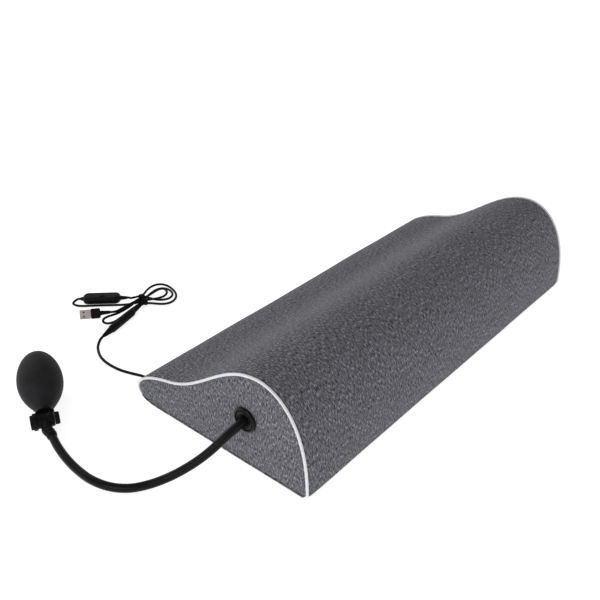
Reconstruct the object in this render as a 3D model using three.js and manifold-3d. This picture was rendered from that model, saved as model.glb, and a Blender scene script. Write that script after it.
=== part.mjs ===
// Lumbar support cushion with a hand-pumped lift bladder and a heating pad on a low-voltage lead.
// Millimetres, +Z up. X runs along the cushion, -Y is the steep side and +Y the thin nose.
// The origin is the centre of the underside.
import * as THREE from 'three';
import { mergeVertices } from 'three/addons/utils/BufferGeometryUtils.js';
import Module from 'manifold-3d';

const wasm = await Module();
wasm.setup();

// Clearance between pieces that touch in the real cushion
const GAP = 0.3;
// Room for the flat facets that stand in for a curve
const FACET_SLACK = 0.3;

// Cushion outline
const LENGTH = 554;
const DEPTH = 250;
const CREST_HEIGHT = 115;
const CREST_SETBACK = 62.5; // from the steep side
const CREST_LEAD = 23;
const CREST_TRAIL = 49;
const FRONT_DROP = 20; // where the steep side starts to lean in, below the crest
const FRONT_FOOT_RADIUS = 5.4;
const SHOULDER_SETBACK = 55; // from the nose
const SHOULDER_HEIGHT = 49.5;
const SHOULDER_SLOPE = THREE.MathUtils.degToRad(13);
const SHOULDER_LEAD = 53;
const SHOULDER_TRAIL = 15;
const NOSE_HEIGHT = 16.5;
const NOSE_CROWN = 19;
const NOSE_TUCK = 12.5;
const NOSE_FOOT = 30; // where the underside turns up, from the nose

// Cover
const FABRIC = 2;
const PIPING_RADIUS = 2;
const PIPING_INSET = 1; // centre of the piping, under the outline
const PIPING_FRONT_TAIL = 6;
const PIPING_NOSE_TAIL = 12;

// Lift bladder and the foam around it
const FOAM_SPLIT = 66;
const BLADDER_THICKNESS = 12;
const BLADDER_WIDTH = 120;
const BLADDER_END_MARGIN = 31;
const BLADDER_CORNER = 18;
const BLADDER_OFFSET = 20.5; // behind the crest
const BLADDER_POCKET_CLEARANCE = 1;

// Hose grommet in the end panel
const GROMMET_OFFSET = 16; // behind the crest
const GROMMET_BORE = 7;
const GROMMET_BARREL = 9;
const GROMMET_FLANGE = 14;
const GROMMET_FLANGE_THICKNESS = 3;
const GROMMET_BARREL_LENGTH = 8;
const WASHER_RADIUS = 13;
const WASHER_THICKNESS = 2;
const INLET_POCKET_CLEARANCE = 1;
const INLET_LENGTH = 15.5;
const INLET_BORE = 2.4;

// Air hose
const HOSE_RADIUS = 4.5;
const CUFF_RADIUS = 5.8;

// Heating pad under the cover
const PAD_THICKNESS = 1.5;
const PAD_END_MARGIN = 87;
const PAD_FRONT = 35; // ahead of the crest
const PAD_BACK = 60; // behind the crest
const THERMOSTAT_THICKNESS = 3.5;
const THERMOSTAT_LENGTH = 20;
const THERMOSTAT_START = 16; // from the end of the pad
const THERMOSTAT_BACK = 50;
const THERMOSTAT_FRONT = 43;
const LEAD_RADIUS = 1.6;
const LEAD_CHANNEL_RADIUS = 2.3;
const LEAD_START = 10; // from the end of the pad

// Zipper along the nose
const ZIPPER_HEIGHT = 12;
const ZIPPER_START_MARGIN = 41;
const ZIPPER_END_MARGIN = 33;
const TAPE_WIDTH = 5;
const TAPE_THICKNESS = 1;
const TAPE_INSET = 0.4;
const TEETH_WIDTH = 3.4;
const TEETH_THICKNESS = 1.6;
const TEETH_INSET = 0.2;
const STOP_LENGTH = 3;
const STOP_THICKNESS = 2.2;
const SLIDER_LENGTH = 10;
const SLIDER_WIDTH = 7;
const SLIDER_THICKNESS = 2;
const SLIDER_LUG = 2.6;
const SLIDER_LUG_WIDTH = 1.2;
const PULL_BARREL_RADIUS = 1.1;
const PULL_LENGTH = 18;
const PULL_WIDTH = 3.4;
const PULL_THICKNESS = 1.2;

// Where the heating lead leaves the nose
const EXIT_MARGIN = 27; // from the end of the cushion
const GLAND_BARREL = 2.9;
const GLAND_DEPTH = 5;
const GLAND_FLANGE = 5;
const GLAND_FLANGE_THICKNESS = 1.5;
const GLAND_RELIEF = 10;

// Hand pump
const BULB_LENGTH = 88;
const BULB_RADIUS = 25;
const BULB_WIDEST = 46;
const BULB_WALL = 2.2;
const BULB_NECK_RADIUS = 9.5;
const BULB_TIP_RADIUS = 5;
const NECK_BORE = 5;
const NECK_BORE_LENGTH = 9;
const INTAKE_BORE = 1.4;
const INTAKE_LENGTH = 7;
const VALVE_AXIAL_RADIUS = 6;
const VALVE_AXIAL_REACH = 9;
const VALVE_AIRWAY = 2;
const VALVE_CROSS_RADIUS = 8;
const VALVE_CROSS_REACH = 9;
const VALVE_COLLAR_RADIUS = 9.4;
const VALVE_COLLAR_LENGTH = 4;
const VALVE_FLANGE_RADIUS = 10;
const VALVE_FLANGE_THICKNESS = 3;
const BUTTON_RADIUS = 8.1;
const BUTTON_THICKNESS = 3;
const BUTTON_TRAVEL = 2.5;
const BUTTON_STEM = 2.2;
const SPRING_BORE = 5.2;
const SPRING_WIRE = 0.45;
const SPRING_TURNS = 4;
const CAP_RADIUS = 6.8;
const CAP_LENGTH = 5;

// Low-voltage lead: pigtail, two-part connector, folded cord, switch and plug
const PIGTAIL_RADIUS = 1.75;
const CORD_RADIUS = 1.6;
const CONNECTOR_RADIUS = 5.2;
const JACK_LENGTH = 32;
const JACK_BORE = 3.1;
const JACK_BORE_DEPTH = 12;
const JACK_PIN_RADIUS = 1;
const BARREL_RADIUS = 2.75;
const BARREL_BORE = 1.35;
const BARREL_LENGTH = 10;
const PLUG_LENGTH = 32;
const PLUG_RELIEF = 16;
const HANK_BOTTOM = 1.4;
const HANK_THICKNESS = 9.5;
const TIE_THICKNESS = 0.9;
const TIE_WIDTH = 4.6;
const WAIST_HALF_WIDTH = 7.2;
const SWITCH_LENGTH = 50;
const SWITCH_WIDTH = 18;
const SWITCH_BASE_HEIGHT = 5;
const SWITCH_LID_HEIGHT = 4.7;
const SWITCH_WALL = 1.2;
const SWITCH_CORNER = 6;
const SWITCH_BUTTON_RADIUS = 3.5;
const USB_WIDTH = 12;
const USB_HEIGHT = 4.5;
const USB_LENGTH = 14;
const USB_WALL = 0.4;
const OVERMOLD_LENGTH = 12;
const OVERMOLD_WIDTH = 13.5;
const OVERMOLD_HEIGHT = 7.5;
const OVERMOLD_RELIEF = 13;

// Places worked out from the sizes above
const frontY = -DEPTH / 2;
const noseY = DEPTH / 2;
const crestY = frontY + CREST_SETBACK;
const endX = LENGTH / 2;
const pipingReach = PIPING_INSET + PIPING_RADIUS + FACET_SLACK;
const liningInset = Math.max(FABRIC, pipingReach) + GAP;
const coverEndX = endX - 2 * PIPING_RADIUS - GAP;
const foamEndX = endX - FABRIC - GAP;
const grommetY = crestY + GROMMET_OFFSET;
const grommetZ = FOAM_SPLIT - BLADDER_THICKNESS / 2;
const bladderEndX = endX - BLADDER_END_MARGIN;
const padEndX = endX - PAD_END_MARGIN;
const padOuterInset = FABRIC + GAP;
const padInnerInset = padOuterInset + PAD_THICKNESS;
const zipperStartX = -endX + ZIPPER_START_MARGIN;
const zipperEndX = endX - ZIPPER_END_MARGIN;
const exitX = -endX + EXIT_MARGIN;

// ---- materials ----

function finish(color, roughness, metalness = 0) {
  return new THREE.MeshStandardMaterial({ color, roughness, metalness });
}

const fabric = finish(0x67676b, 0.95);
const pipingCord = finish(0xececf0, 0.8);
const foam = finish(0xd8d4c6, 0.95);
const film = finish(0x8a8f96, 0.5);
const heaterCloth = finish(0x3c3c40, 0.9);
const rubber = finish(0x272729, 0.7);
const blackPlastic = finish(0x1b1b1d, 0.5);
const cordJacket = finish(0x161618, 0.5);
const board = finish(0x1f5a34, 0.6);
const steel = finish(0xb4b2b2, 0.3, 1);

// ---- solids and booleans ----

const ALONG_X = new THREE.Matrix4().makeBasis(
  new THREE.Vector3(0, 1, 0),
  new THREE.Vector3(0, 0, 1),
  new THREE.Vector3(1, 0, 0),
);

function bareMesh(geometry) {
  const bare = geometry.clone();
  bare.deleteAttribute('normal');
  bare.deleteAttribute('uv');
  return mergeVertices(bare, 1e-4);
}

function solid(geometry) {
  const bare = bareMesh(geometry);
  const index = bare.index.array;
  const triangles = [];
  for (let i = 0; i < index.length; i += 3) {
    const [a, b, c] = [index[i], index[i + 1], index[i + 2]];
    if (a !== b && b !== c && c !== a) triangles.push(a, b, c);
  }
  return new wasm.Manifold(new wasm.Mesh({
    numProp: 3,
    vertProperties: new Float32Array(bare.attributes.position.array),
    triVerts: new Uint32Array(triangles),
  }));
}

function toGeometry(manifold) {
  const mesh = manifold.getMesh();
  const geometry = new THREE.BufferGeometry();
  geometry.setAttribute('position', new THREE.BufferAttribute(mesh.vertProperties, 3));
  geometry.setIndex(new THREE.BufferAttribute(mesh.triVerts, 1));
  geometry.computeVertexNormals();
  return geometry;
}

function cut(body, ...tools) {
  return toGeometry(tools.reduce((left, tool) => left.subtract(solid(tool)), solid(body)));
}

function join(first, ...others) {
  return toGeometry(others.reduce((whole, other) => whole.add(solid(other)), solid(first)));
}

// A closed outline in Y and Z, carried along X
function slab(points, from, to) {
  const shape = new THREE.Shape(points);
  const geometry = new THREE.ExtrudeGeometry(shape, { depth: to - from, bevelEnabled: false });
  return geometry.applyMatrix4(ALONG_X).translate(from, 0, 0);
}

function box(x0, x1, y0, y1, z0, z1) {
  const geometry = new THREE.BoxGeometry(x1 - x0, y1 - y0, z1 - z0);
  return geometry.translate((x0 + x1) / 2, (y0 + y1) / 2, (z0 + z1) / 2);
}

// A profile of [distance along X, radius] turned about the X axis
function turned(profile, segments = 16) {
  const points = profile.map(([along, radius]) => new THREE.Vector2(radius, along));
  if (THREE.ShapeUtils.area(points) < 0) points.reverse();
  return new THREE.LatheGeometry(points, segments).rotateZ(-Math.PI / 2);
}

function rod(from, to, radius, segments = 16) {
  return turned([[from, 0], [from, radius], [to, radius], [to, 0]], segments);
}

function ring(outer, inner, segments = 16) {
  const closed = [...outer, ...inner.toReversed()];
  return turned([...closed, closed[0]], segments);
}

function circle(radius, sides) {
  const points = [];
  for (let i = 0; i < sides; i += 1) {
    const angle = (2 * Math.PI * i) / sides;
    points.push(new THREE.Vector2(radius * Math.cos(angle), radius * Math.sin(angle)));
  }
  return new THREE.Shape(points);
}

function sweep(curve, radius, sides, steps) {
  return new THREE.ExtrudeGeometry(circle(radius, sides), {
    steps, bevelEnabled: false, extrudePath: curve,
  });
}

function tube(route, radius, sides, steps) {
  const points = route.map((point) => new THREE.Vector3(...point));
  return sweep(new THREE.CatmullRomCurve3(points, false, 'centripetal'), radius, sides, steps);
}

function roundedRectangle(width, height, radius) {
  const [w, h] = [width / 2, height / 2];
  const shape = new THREE.Shape();
  shape.moveTo(-w + radius, -h);
  shape.lineTo(w - radius, -h);
  shape.absarc(w - radius, -h + radius, radius, -Math.PI / 2, 0);
  shape.lineTo(w, h - radius);
  shape.absarc(w - radius, h - radius, radius, 0, Math.PI / 2);
  shape.lineTo(-w + radius, h);
  shape.absarc(-w + radius, h - radius, radius, Math.PI / 2, Math.PI);
  shape.lineTo(-w, -h + radius);
  shape.absarc(-w + radius, -h + radius, radius, Math.PI, 1.5 * Math.PI);
  return shape;
}

function roundedBlock(length, width, height, radius, bottom) {
  const shape = roundedRectangle(length, width, radius);
  const geometry = new THREE.ExtrudeGeometry(shape, {
    depth: height, bevelEnabled: false, curveSegments: 3,
  });
  return geometry.translate(0, 0, bottom);
}

// ---- the cushion's outline and bands that follow it ----

// From the front foot up the steep side, over the crest, down the ramp and round the nose
function outlineCurves() {
  const at = (y, z) => new THREE.Vector2(y, z);
  const foot = FRONT_FOOT_RADIUS;
  const shoulderY = noseY - SHOULDER_SETBACK;
  const [slopeY, slopeZ] = [Math.cos(SHOULDER_SLOPE), Math.sin(SHOULDER_SLOPE)];
  const crest = at(crestY, CREST_HEIGHT);
  const shoulder = at(shoulderY, SHOULDER_HEIGHT);
  const nose = at(noseY, NOSE_HEIGHT);
  const footEnd = at(noseY - NOSE_FOOT, 0);
  return [
    [new THREE.EllipseCurve(
      frontY + foot, foot, foot, foot, -Math.PI / 2, -Math.PI, true), 3],
    [new THREE.CubicBezierCurve(
      at(frontY, foot), at(frontY, CREST_HEIGHT - FRONT_DROP),
      at(crestY - CREST_LEAD, CREST_HEIGHT), crest), 18],
    [new THREE.CubicBezierCurve(
      crest, at(crestY + CREST_TRAIL, CREST_HEIGHT),
      at(shoulderY - SHOULDER_LEAD * slopeY, SHOULDER_HEIGHT + SHOULDER_LEAD * slopeZ),
      shoulder), 18],
    [new THREE.CubicBezierCurve(
      shoulder, at(shoulderY + SHOULDER_TRAIL * slopeY, SHOULDER_HEIGHT - SHOULDER_TRAIL * slopeZ),
      at(noseY, NOSE_HEIGHT + NOSE_CROWN), nose), 9],
    [new THREE.CubicBezierCurve(
      nose, at(noseY, NOSE_HEIGHT - NOSE_TUCK),
      at(noseY - NOSE_FOOT + NOSE_TUCK, 0), footEnd), 9],
  ];
}

const OUTLINE = outlineCurves().flatMap(([curve, steps], i) => (
  curve.getSpacedPoints(steps).slice(i === 0 ? 0 : 1)
));

// Distance of each outline point from the front foot; one more entry closes the loop
const STATIONS = OUTLINE.reduce((list, point, i) => {
  const next = OUTLINE[(i + 1) % OUTLINE.length];
  return [...list, list.at(-1) + point.distanceTo(next)];
}, [0]);

function insetOutline(distance) {
  return OUTLINE.map((point, i) => {
    const before = OUTLINE.at(i - 1);
    const after = OUTLINE[(i + 1) % OUTLINE.length];
    const incoming = new THREE.Vector2(point.y - before.y, before.x - point.x).normalize();
    const outgoing = new THREE.Vector2(after.y - point.y, point.x - after.x).normalize();
    const mitre = incoming.clone().add(outgoing).normalize();
    return point.clone().addScaledVector(mitre, distance / mitre.dot(incoming));
  });
}

function pointAt(inset, station) {
  const points = insetOutline(inset);
  const i = STATIONS.slice(0, -1).findLastIndex((value) => value <= station);
  const share = (station - STATIONS[i]) / (STATIONS[i + 1] - STATIONS[i]);
  return points[i].clone().lerp(points[(i + 1) % points.length], share);
}

function chain(inset, from, to) {
  const inner = insetOutline(inset).filter((_, i) => STATIONS[i] > from && STATIONS[i] < to);
  return [pointAt(inset, from), ...inner, pointAt(inset, to)];
}

function band(outer, inner, from, to) {
  return [...chain(outer, from, to), ...chain(inner, from, to).reverse()];
}

// The station where the outline passes a height on the nose side, or a Y on its upper side
function crossing(startsAfter, value) {
  for (let i = 0; i < OUTLINE.length - 1; i += 1) {
    const [a, b] = [value(OUTLINE[i]), value(OUTLINE[i + 1])];
    if (OUTLINE[i].x >= startsAfter && a <= 0 && b > 0) {
      return STATIONS[i] + ((STATIONS[i + 1] - STATIONS[i]) * -a) / (b - a);
    }
  }
  throw new Error('the outline does not pass there');
}

const noseStation = (height) => crossing(crestY, (point) => height - point.y);
const topStation = (y) => crossing(frontY, (point) => point.x - y);

const outlineEnd = STATIONS.at(-2);
const loopEnd = STATIONS.at(-1);
const zipperStation = noseStation(ZIPPER_HEIGHT);
const slotHalf = TEETH_WIDTH / 2 + TAPE_WIDTH + 2 * GAP;

// ---- assembly helpers ----

const cushion = new THREE.Group();

function part(name, geometry, material, parent = cushion) {
  const mesh = new THREE.Mesh(geometry, material);
  mesh.name = name;
  parent.add(mesh);
  return mesh;
}

function frameAt(x, y, z, turnZ = 0, parent = cushion) {
  const group = new THREE.Group();
  group.position.set(x, y, z);
  group.rotation.z = turnZ;
  parent.add(group);
  return group;
}

// On the nose at the zipper's height: local X along the cushion, Y outward, Z up the cloth
const zipperPoint = pointAt(0, zipperStation);
const zipperAhead = pointAt(0, zipperStation - 1);
const noseTilt = Math.atan2(zipperAhead.x - zipperPoint.x, zipperAhead.y - zipperPoint.y);

function noseFrame(x) {
  const group = frameAt(x, zipperPoint.x, zipperPoint.y);
  group.rotation.x = -noseTilt;
  return group;
}

// ---- cover ----

function pipingRoute(x, overrun) {
  const from = PIPING_FRONT_TAIL - overrun;
  const to = outlineEnd - PIPING_NOSE_TAIL + overrun;
  return chain(PIPING_INSET, from, to).map((point) => [x, point.x, point.y]);
}

function piping(x, clearance = 0) {
  return tube(pipingRoute(x, 4 * clearance), PIPING_RADIUS + clearance, 6, 60);
}

function endPanel(x0, x1) {
  return slab(insetOutline(pipingReach + GAP), x0, x1);
}

function grommetCylinder(x0, x1, radius) {
  return rod(x0, x1, radius).translate(0, grommetY, grommetZ);
}

function glandHole() {
  const tilted = rod(-FABRIC * 3, FABRIC * 3, GLAND_BARREL + GAP, 16).rotateZ(Math.PI / 2);
  return tilted.rotateX(-noseTilt).translate(exitX, zipperPoint.x, zipperPoint.y);
}

function buildCover() {
  const seam = zipperStation + slotHalf;
  const slot = slab(
    band(-FABRIC, 2 * FABRIC, zipperStation - slotHalf, seam + FABRIC),
    zipperStartX - GAP, zipperEndX + GAP);
  const main = slab(band(0, FABRIC, GAP, seam), -coverEndX, coverEndX);
  const base = slab(band(0, FABRIC, seam + GAP, loopEnd), -endX, endX);
  const pipingX = endX - PIPING_RADIUS;
  part('cover_main_panel', cut(main, slot, glandHole()), fabric);
  part('cover_base_panel', cut(
    base, piping(-pipingX, GAP), piping(pipingX, GAP)), fabric);
  const hole = grommetCylinder(-endX - FABRIC, -endX + 2 * FABRIC, GROMMET_BARREL + GAP);
  part('end_panel_left', cut(endPanel(-endX, -endX + FABRIC), hole), fabric);
  part('end_panel_right', endPanel(endX - FABRIC, endX), fabric);
  part('piping_left', piping(-pipingX), pipingCord);
  part('piping_right', piping(pipingX), pipingCord);
}

// ---- zipper ----

function zipperBand(inset, thickness, from, to, x0, x1) {
  return slab(
    band(inset, inset + thickness, zipperStation + from, zipperStation + to), x0, x1);
}

function buildZipper() {
  const half = TEETH_WIDTH / 2;
  const tapeEdge = half + GAP + TAPE_WIDTH;
  const [x0, x1] = [zipperStartX, zipperEndX];
  part('zipper_tape_upper',
    zipperBand(TAPE_INSET, TAPE_THICKNESS, -tapeEdge, -half - GAP, x0, x1), fabric);
  part('zipper_tape_lower',
    zipperBand(TAPE_INSET, TAPE_THICKNESS, half + GAP, tapeEdge, x0, x1), fabric);
  const [teethStart, teethEnd] = [x0 + STOP_LENGTH + GAP, x1 - STOP_LENGTH - GAP];
  part('zipper_teeth',
    zipperBand(TEETH_INSET, TEETH_THICKNESS, -half, half, teethStart, teethEnd), blackPlastic);
  const stop = (start) => zipperBand(
    -TEETH_INSET, STOP_THICKNESS, -half, half, start, start + STOP_LENGTH);
  part('zipper_stop_start', stop(x0), steel);
  part('zipper_stop_end', stop(x1 - STOP_LENGTH), steel);
  buildSlider(teethStart);
}

function buildSlider(teethStart) {
  const slider = noseFrame(teethStart + SLIDER_LENGTH / 2 + GAP);
  const [l, w] = [SLIDER_LENGTH / 2, SLIDER_WIDTH / 2];
  const top = GAP + SLIDER_THICKNESS;
  const lugInner = PULL_WIDTH / 2 + GAP;
  const body = box(-l, l, GAP, top, -w, w);
  const lugs = [1, -1].map((side) => box(
    -PULL_BARREL_RADIUS - GAP, PULL_BARREL_RADIUS + GAP, top - GAP, top + SLIDER_LUG,
    Math.min(side * lugInner, side * (lugInner + SLIDER_LUG_WIDTH)),
    Math.max(side * lugInner, side * (lugInner + SLIDER_LUG_WIDTH))));
  part('zipper_slider', join(body, ...lugs), steel, slider);
  const hinge = noseFrame(slider.position.x);
  const lift = top + GAP + PULL_BARREL_RADIUS;
  const barrel = rod(-PULL_WIDTH / 2, PULL_WIDTH / 2, PULL_BARREL_RADIUS, 12);
  barrel.rotateY(Math.PI / 2).translate(0, lift, 0);
  const blade = box(
    0, PULL_LENGTH, lift - PULL_THICKNESS / 2, lift + PULL_THICKNESS / 2,
    -PULL_WIDTH / 2, PULL_WIDTH / 2);
  part('zipper_pull', join(barrel, blade), steel, hinge);
}

// ---- foam, bladder and inlet ----

function inletPocket() {
  return grommetCylinder(
    -endX, -bladderEndX + BLADDER_POCKET_CLEARANCE, WASHER_RADIUS + INLET_POCKET_CLEARANCE);
}

function bladderBlock(clearance) {
  const length = 2 * (bladderEndX + clearance);
  const width = BLADDER_WIDTH + 2 * clearance;
  const bottom = FOAM_SPLIT - BLADDER_THICKNESS - (clearance > 0 ? GAP : 0);
  const height = clearance > 0 ? CREST_HEIGHT : FOAM_SPLIT - bottom;
  const block = roundedBlock(length, width, height, BLADDER_CORNER, bottom);
  return block.translate(0, crestY + BLADDER_OFFSET, 0);
}

function glandPoint(outward) {
  return [
    exitX,
    zipperPoint.x + outward * Math.cos(noseTilt),
    zipperPoint.y - outward * Math.sin(noseTilt),
  ];
}

// Down the ramp under the cover, then through the foam to the inner end of the gland
function leadRoute(overrun) {
  const inset = padOuterInset + LEAD_RADIUS + FACET_SLACK;
  const from = topStation(crestY + PAD_BACK) + GAP - overrun;
  const to = topStation(noseY - 34);
  const startX = -padEndX + LEAD_START;
  const ramp = [];
  for (let i = 0; i <= 8; i += 1) {
    const point = pointAt(inset, from + ((to - from) * i) / 8);
    const drift = THREE.MathUtils.smoothstep(i, 2, 8);
    ramp.push([THREE.MathUtils.lerp(startX, exitX + 4, drift), point.x, point.y]);
  }
  const [x, y, z] = glandPoint(-GLAND_DEPTH - GAP);
  return [...ramp, [x + 1, y - 20, z + 16], [x, y - 13, z + 6], [x, y - 6, z + 2], [x, y, z]];
}

function lead(radius, overrun = 0) {
  return tube(leadRoute(overrun), radius, 8, 28);
}

function glandPocket() {
  const hollow = rod(-GLAND_DEPTH - 8, 0, GLAND_BARREL + 1.6, 12).rotateZ(Math.PI / 2);
  return hollow.rotateX(-noseTilt).translate(...glandPoint(0));
}

function thermostatBlock(clearance) {
  const outer = padInnerInset + GAP - clearance;
  const inner = padInnerInset + GAP + THERMOSTAT_THICKNESS + clearance;
  const start = -padEndX + THERMOSTAT_START;
  return slab(
    band(outer, inner,
      topStation(crestY + THERMOSTAT_FRONT) - clearance,
      topStation(crestY + THERMOSTAT_BACK) + clearance),
    start - clearance, start + THERMOSTAT_LENGTH + clearance);
}

function padBand(outer, inner, margin) {
  return slab(
    band(outer, inner,
      topStation(crestY - PAD_FRONT) - margin, topStation(crestY + PAD_BACK) + margin),
    -padEndX - margin, padEndX + margin);
}

function buildFoam() {
  const block = slab(insetOutline(liningInset), -foamEndX, foamEndX);
  const reach = LENGTH + DEPTH;
  const above = box(-reach, reach, -reach, reach, FOAM_SPLIT, 2 * CREST_HEIGHT);
  const below = box(-reach, reach, -reach, reach, -CREST_HEIGHT, FOAM_SPLIT + GAP);
  part('foam_base', cut(
    block, above, bladderBlock(BLADDER_POCKET_CLEARANCE), inletPocket(),
    lead(LEAD_CHANNEL_RADIUS, 1), glandPocket()), foam);
  part('foam_crest', cut(
    block, below, inletPocket(), padBand(0, padInnerInset + GAP, GAP),
    thermostatBlock(GAP), lead(LEAD_CHANNEL_RADIUS, 1)), foam);
  part('air_bladder', bladderBlock(0), film);
}

function buildInlet() {
  const inlet = frameAt(-bladderEndX, grommetY, grommetZ, Math.PI);
  const barb = 0.8;
  const stem = HOSE_RADIUS - barb;
  const outer = [
    [GAP, BLADDER_THICKNESS / 2 - GAP], [GAP + 2, BLADDER_THICKNESS / 2 - GAP],
    [GAP + 2, stem], [8, stem], [8, stem + barb], [11, stem],
    [12.5, stem], [12.5, stem + barb], [INLET_LENGTH, stem - GAP],
  ];
  part('bladder_inlet', ring(outer, [[GAP, INLET_BORE], [INLET_LENGTH, INLET_BORE]], 16),
    blackPlastic, inlet);
}

function buildGrommet() {
  const grommet = frameAt(-endX, grommetY, grommetZ, Math.PI);
  const face = GAP + GROMMET_FLANGE_THICKNESS;
  const outer = [
    [-GROMMET_BARREL_LENGTH, GROMMET_BARREL], [GAP, GROMMET_BARREL], [GAP, GROMMET_FLANGE],
    [face - 1.4, GROMMET_FLANGE], [face - 0.4, GROMMET_FLANGE - 0.8],
    [face, GROMMET_FLANGE - 2.2], [face - 0.7, GROMMET_FLANGE - 3.4],
    [face - 0.9, GROMMET_FLANGE - 4.4], [face - 0.4, GROMMET_FLANGE - 5.4],
    [face - 1, GROMMET_BORE + 0.4], [face - 2, GROMMET_BORE],
  ];
  part('grommet_flange', ring(outer, [[-GROMMET_BARREL_LENGTH, GROMMET_BORE]], 20),
    blackPlastic, grommet);
  const washerFace = -FABRIC - GAP;
  part('grommet_washer', ring(
    [[washerFace - WASHER_THICKNESS, WASHER_RADIUS], [washerFace, WASHER_RADIUS]],
    [[washerFace - WASHER_THICKNESS, GROMMET_BARREL + GAP], [washerFace, GROMMET_BARREL + GAP]],
    20), blackPlastic, grommet);
}

function buildHeater() {
  part('heating_pad', padBand(padOuterInset, padInnerInset, 0), heaterCloth);
  part('thermostat', thermostatBlock(0), blackPlastic);
  part('heater_lead', lead(LEAD_RADIUS), cordJacket);
  const outer = [
    [-GLAND_DEPTH, 0], [-GLAND_DEPTH, GLAND_BARREL], [GAP, GLAND_BARREL], [GAP, GLAND_FLANGE],
    [GAP + GLAND_FLANGE_THICKNESS, GLAND_FLANGE - 0.5],
    [GAP + GLAND_FLANGE_THICKNESS, GLAND_BARREL + 0.6],
    [GLAND_RELIEF, PIGTAIL_RADIUS + 0.5], [GLAND_RELIEF, 0],
  ];
  const gland = turned(outer, 16).rotateZ(Math.PI / 2);
  part('cord_exit_gland', gland, rubber, noseFrame(exitX));
}

// ---- air hose and hand pump ----

// Points along the hose from the grommet to the cuff, measured from the end panel and the crest
const HOSE_ROUTE = [
  [0, 16.2, 59.6], [-8, 17.2, 57.6], [-17, 20, 53], [-27, 23, 46.8],
  [-38, 28, 38.3], [-48, 34.5, 29.8], [-59, 43.5, 20.6], [-71, 53.5, 12.6], [-86, 65, 7],
  [-101, 77.5, 4.9], [-112, 93.5, 4.7], [-118, 114.5, 4.7], [-118.6, 138, 5],
  [-116.5, 160, 6.4], [-113, 178, 8.4], [-109, 191.8, 10.2],
];
// How far inside the end panel the hose starts to bend
const HOSE_STRAIGHT = 8;
const CUFF_ROUTE = [[-108.9, 192.1, 10.25], [-107.2, 198, 11.2]];
const VALVE_PLACE = [-100, 216.3, 14.8];
const PUMP_TURN = THREE.MathUtils.degToRad(60.4);
const PUMP_LIFT = THREE.MathUtils.degToRad(11.5);

function bulbOutline(inset) {
  const at = (along, radius) => new THREE.Vector2(along, radius);
  const [r, w, l] = [BULB_RADIUS - inset, BULB_WIDEST, BULB_LENGTH];
  const neck = new THREE.CubicBezierCurve(
    at(0, BULB_NECK_RADIUS - inset), at(8, BULB_NECK_RADIUS + 8 - inset), at(22, r), at(w, r));
  const tip = new THREE.CubicBezierCurve(
    at(w, r), at(w + 24 - inset / 2, r), at(l - inset, r * 0.62), at(l - inset, BULB_TIP_RADIUS));
  const points = [...neck.getSpacedPoints(6), ...tip.getSpacedPoints(7).slice(1)];
  return points.map((point) => [point.x, point.y]);
}

function buildBulb(pump) {
  const bulb = frameAt(VALVE_AXIAL_REACH + VALVE_FLANGE_THICKNESS, 0, 0, 0, pump);
  bulb.position.x += GAP;
  const inner = bulbOutline(BULB_WALL).filter(([along]) => along > NECK_BORE_LENGTH);
  const innerStart = [[0, NECK_BORE], [NECK_BORE_LENGTH, NECK_BORE]];
  part('pump_bulb', ring(bulbOutline(0), [...innerStart, ...inner], 20), rubber, bulb);
  const plugRadius = BULB_TIP_RADIUS - GAP;
  const end = BULB_LENGTH;
  const seat = end - INTAKE_LENGTH;
  part('bulb_intake_plug', ring(
    [[seat, plugRadius], [end, plugRadius]], [[seat, 3.6], [seat + 2.6, 3.6],
      [seat + 2.6, INTAKE_BORE], [end, INTAKE_BORE]], 16), blackPlastic, bulb);
  part('intake_disc', rod(seat + 1.6, seat + 2.3, 3.2, 16), rubber, bulb);
}

class Helix extends THREE.Curve {
  constructor(radius, from, to, turns) {
    super();
    Object.assign(this, { radius, from, to, turns });
  }

  getPoint(share, target = new THREE.Vector3()) {
    const angle = 2 * Math.PI * this.turns * share;
    return target.set(
      this.radius * Math.cos(angle),
      this.from + (this.to - this.from) * share,
      this.radius * Math.sin(angle));
  }
}

function crosswise(geometry) {
  return geometry.rotateZ(Math.PI / 2);
}

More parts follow.
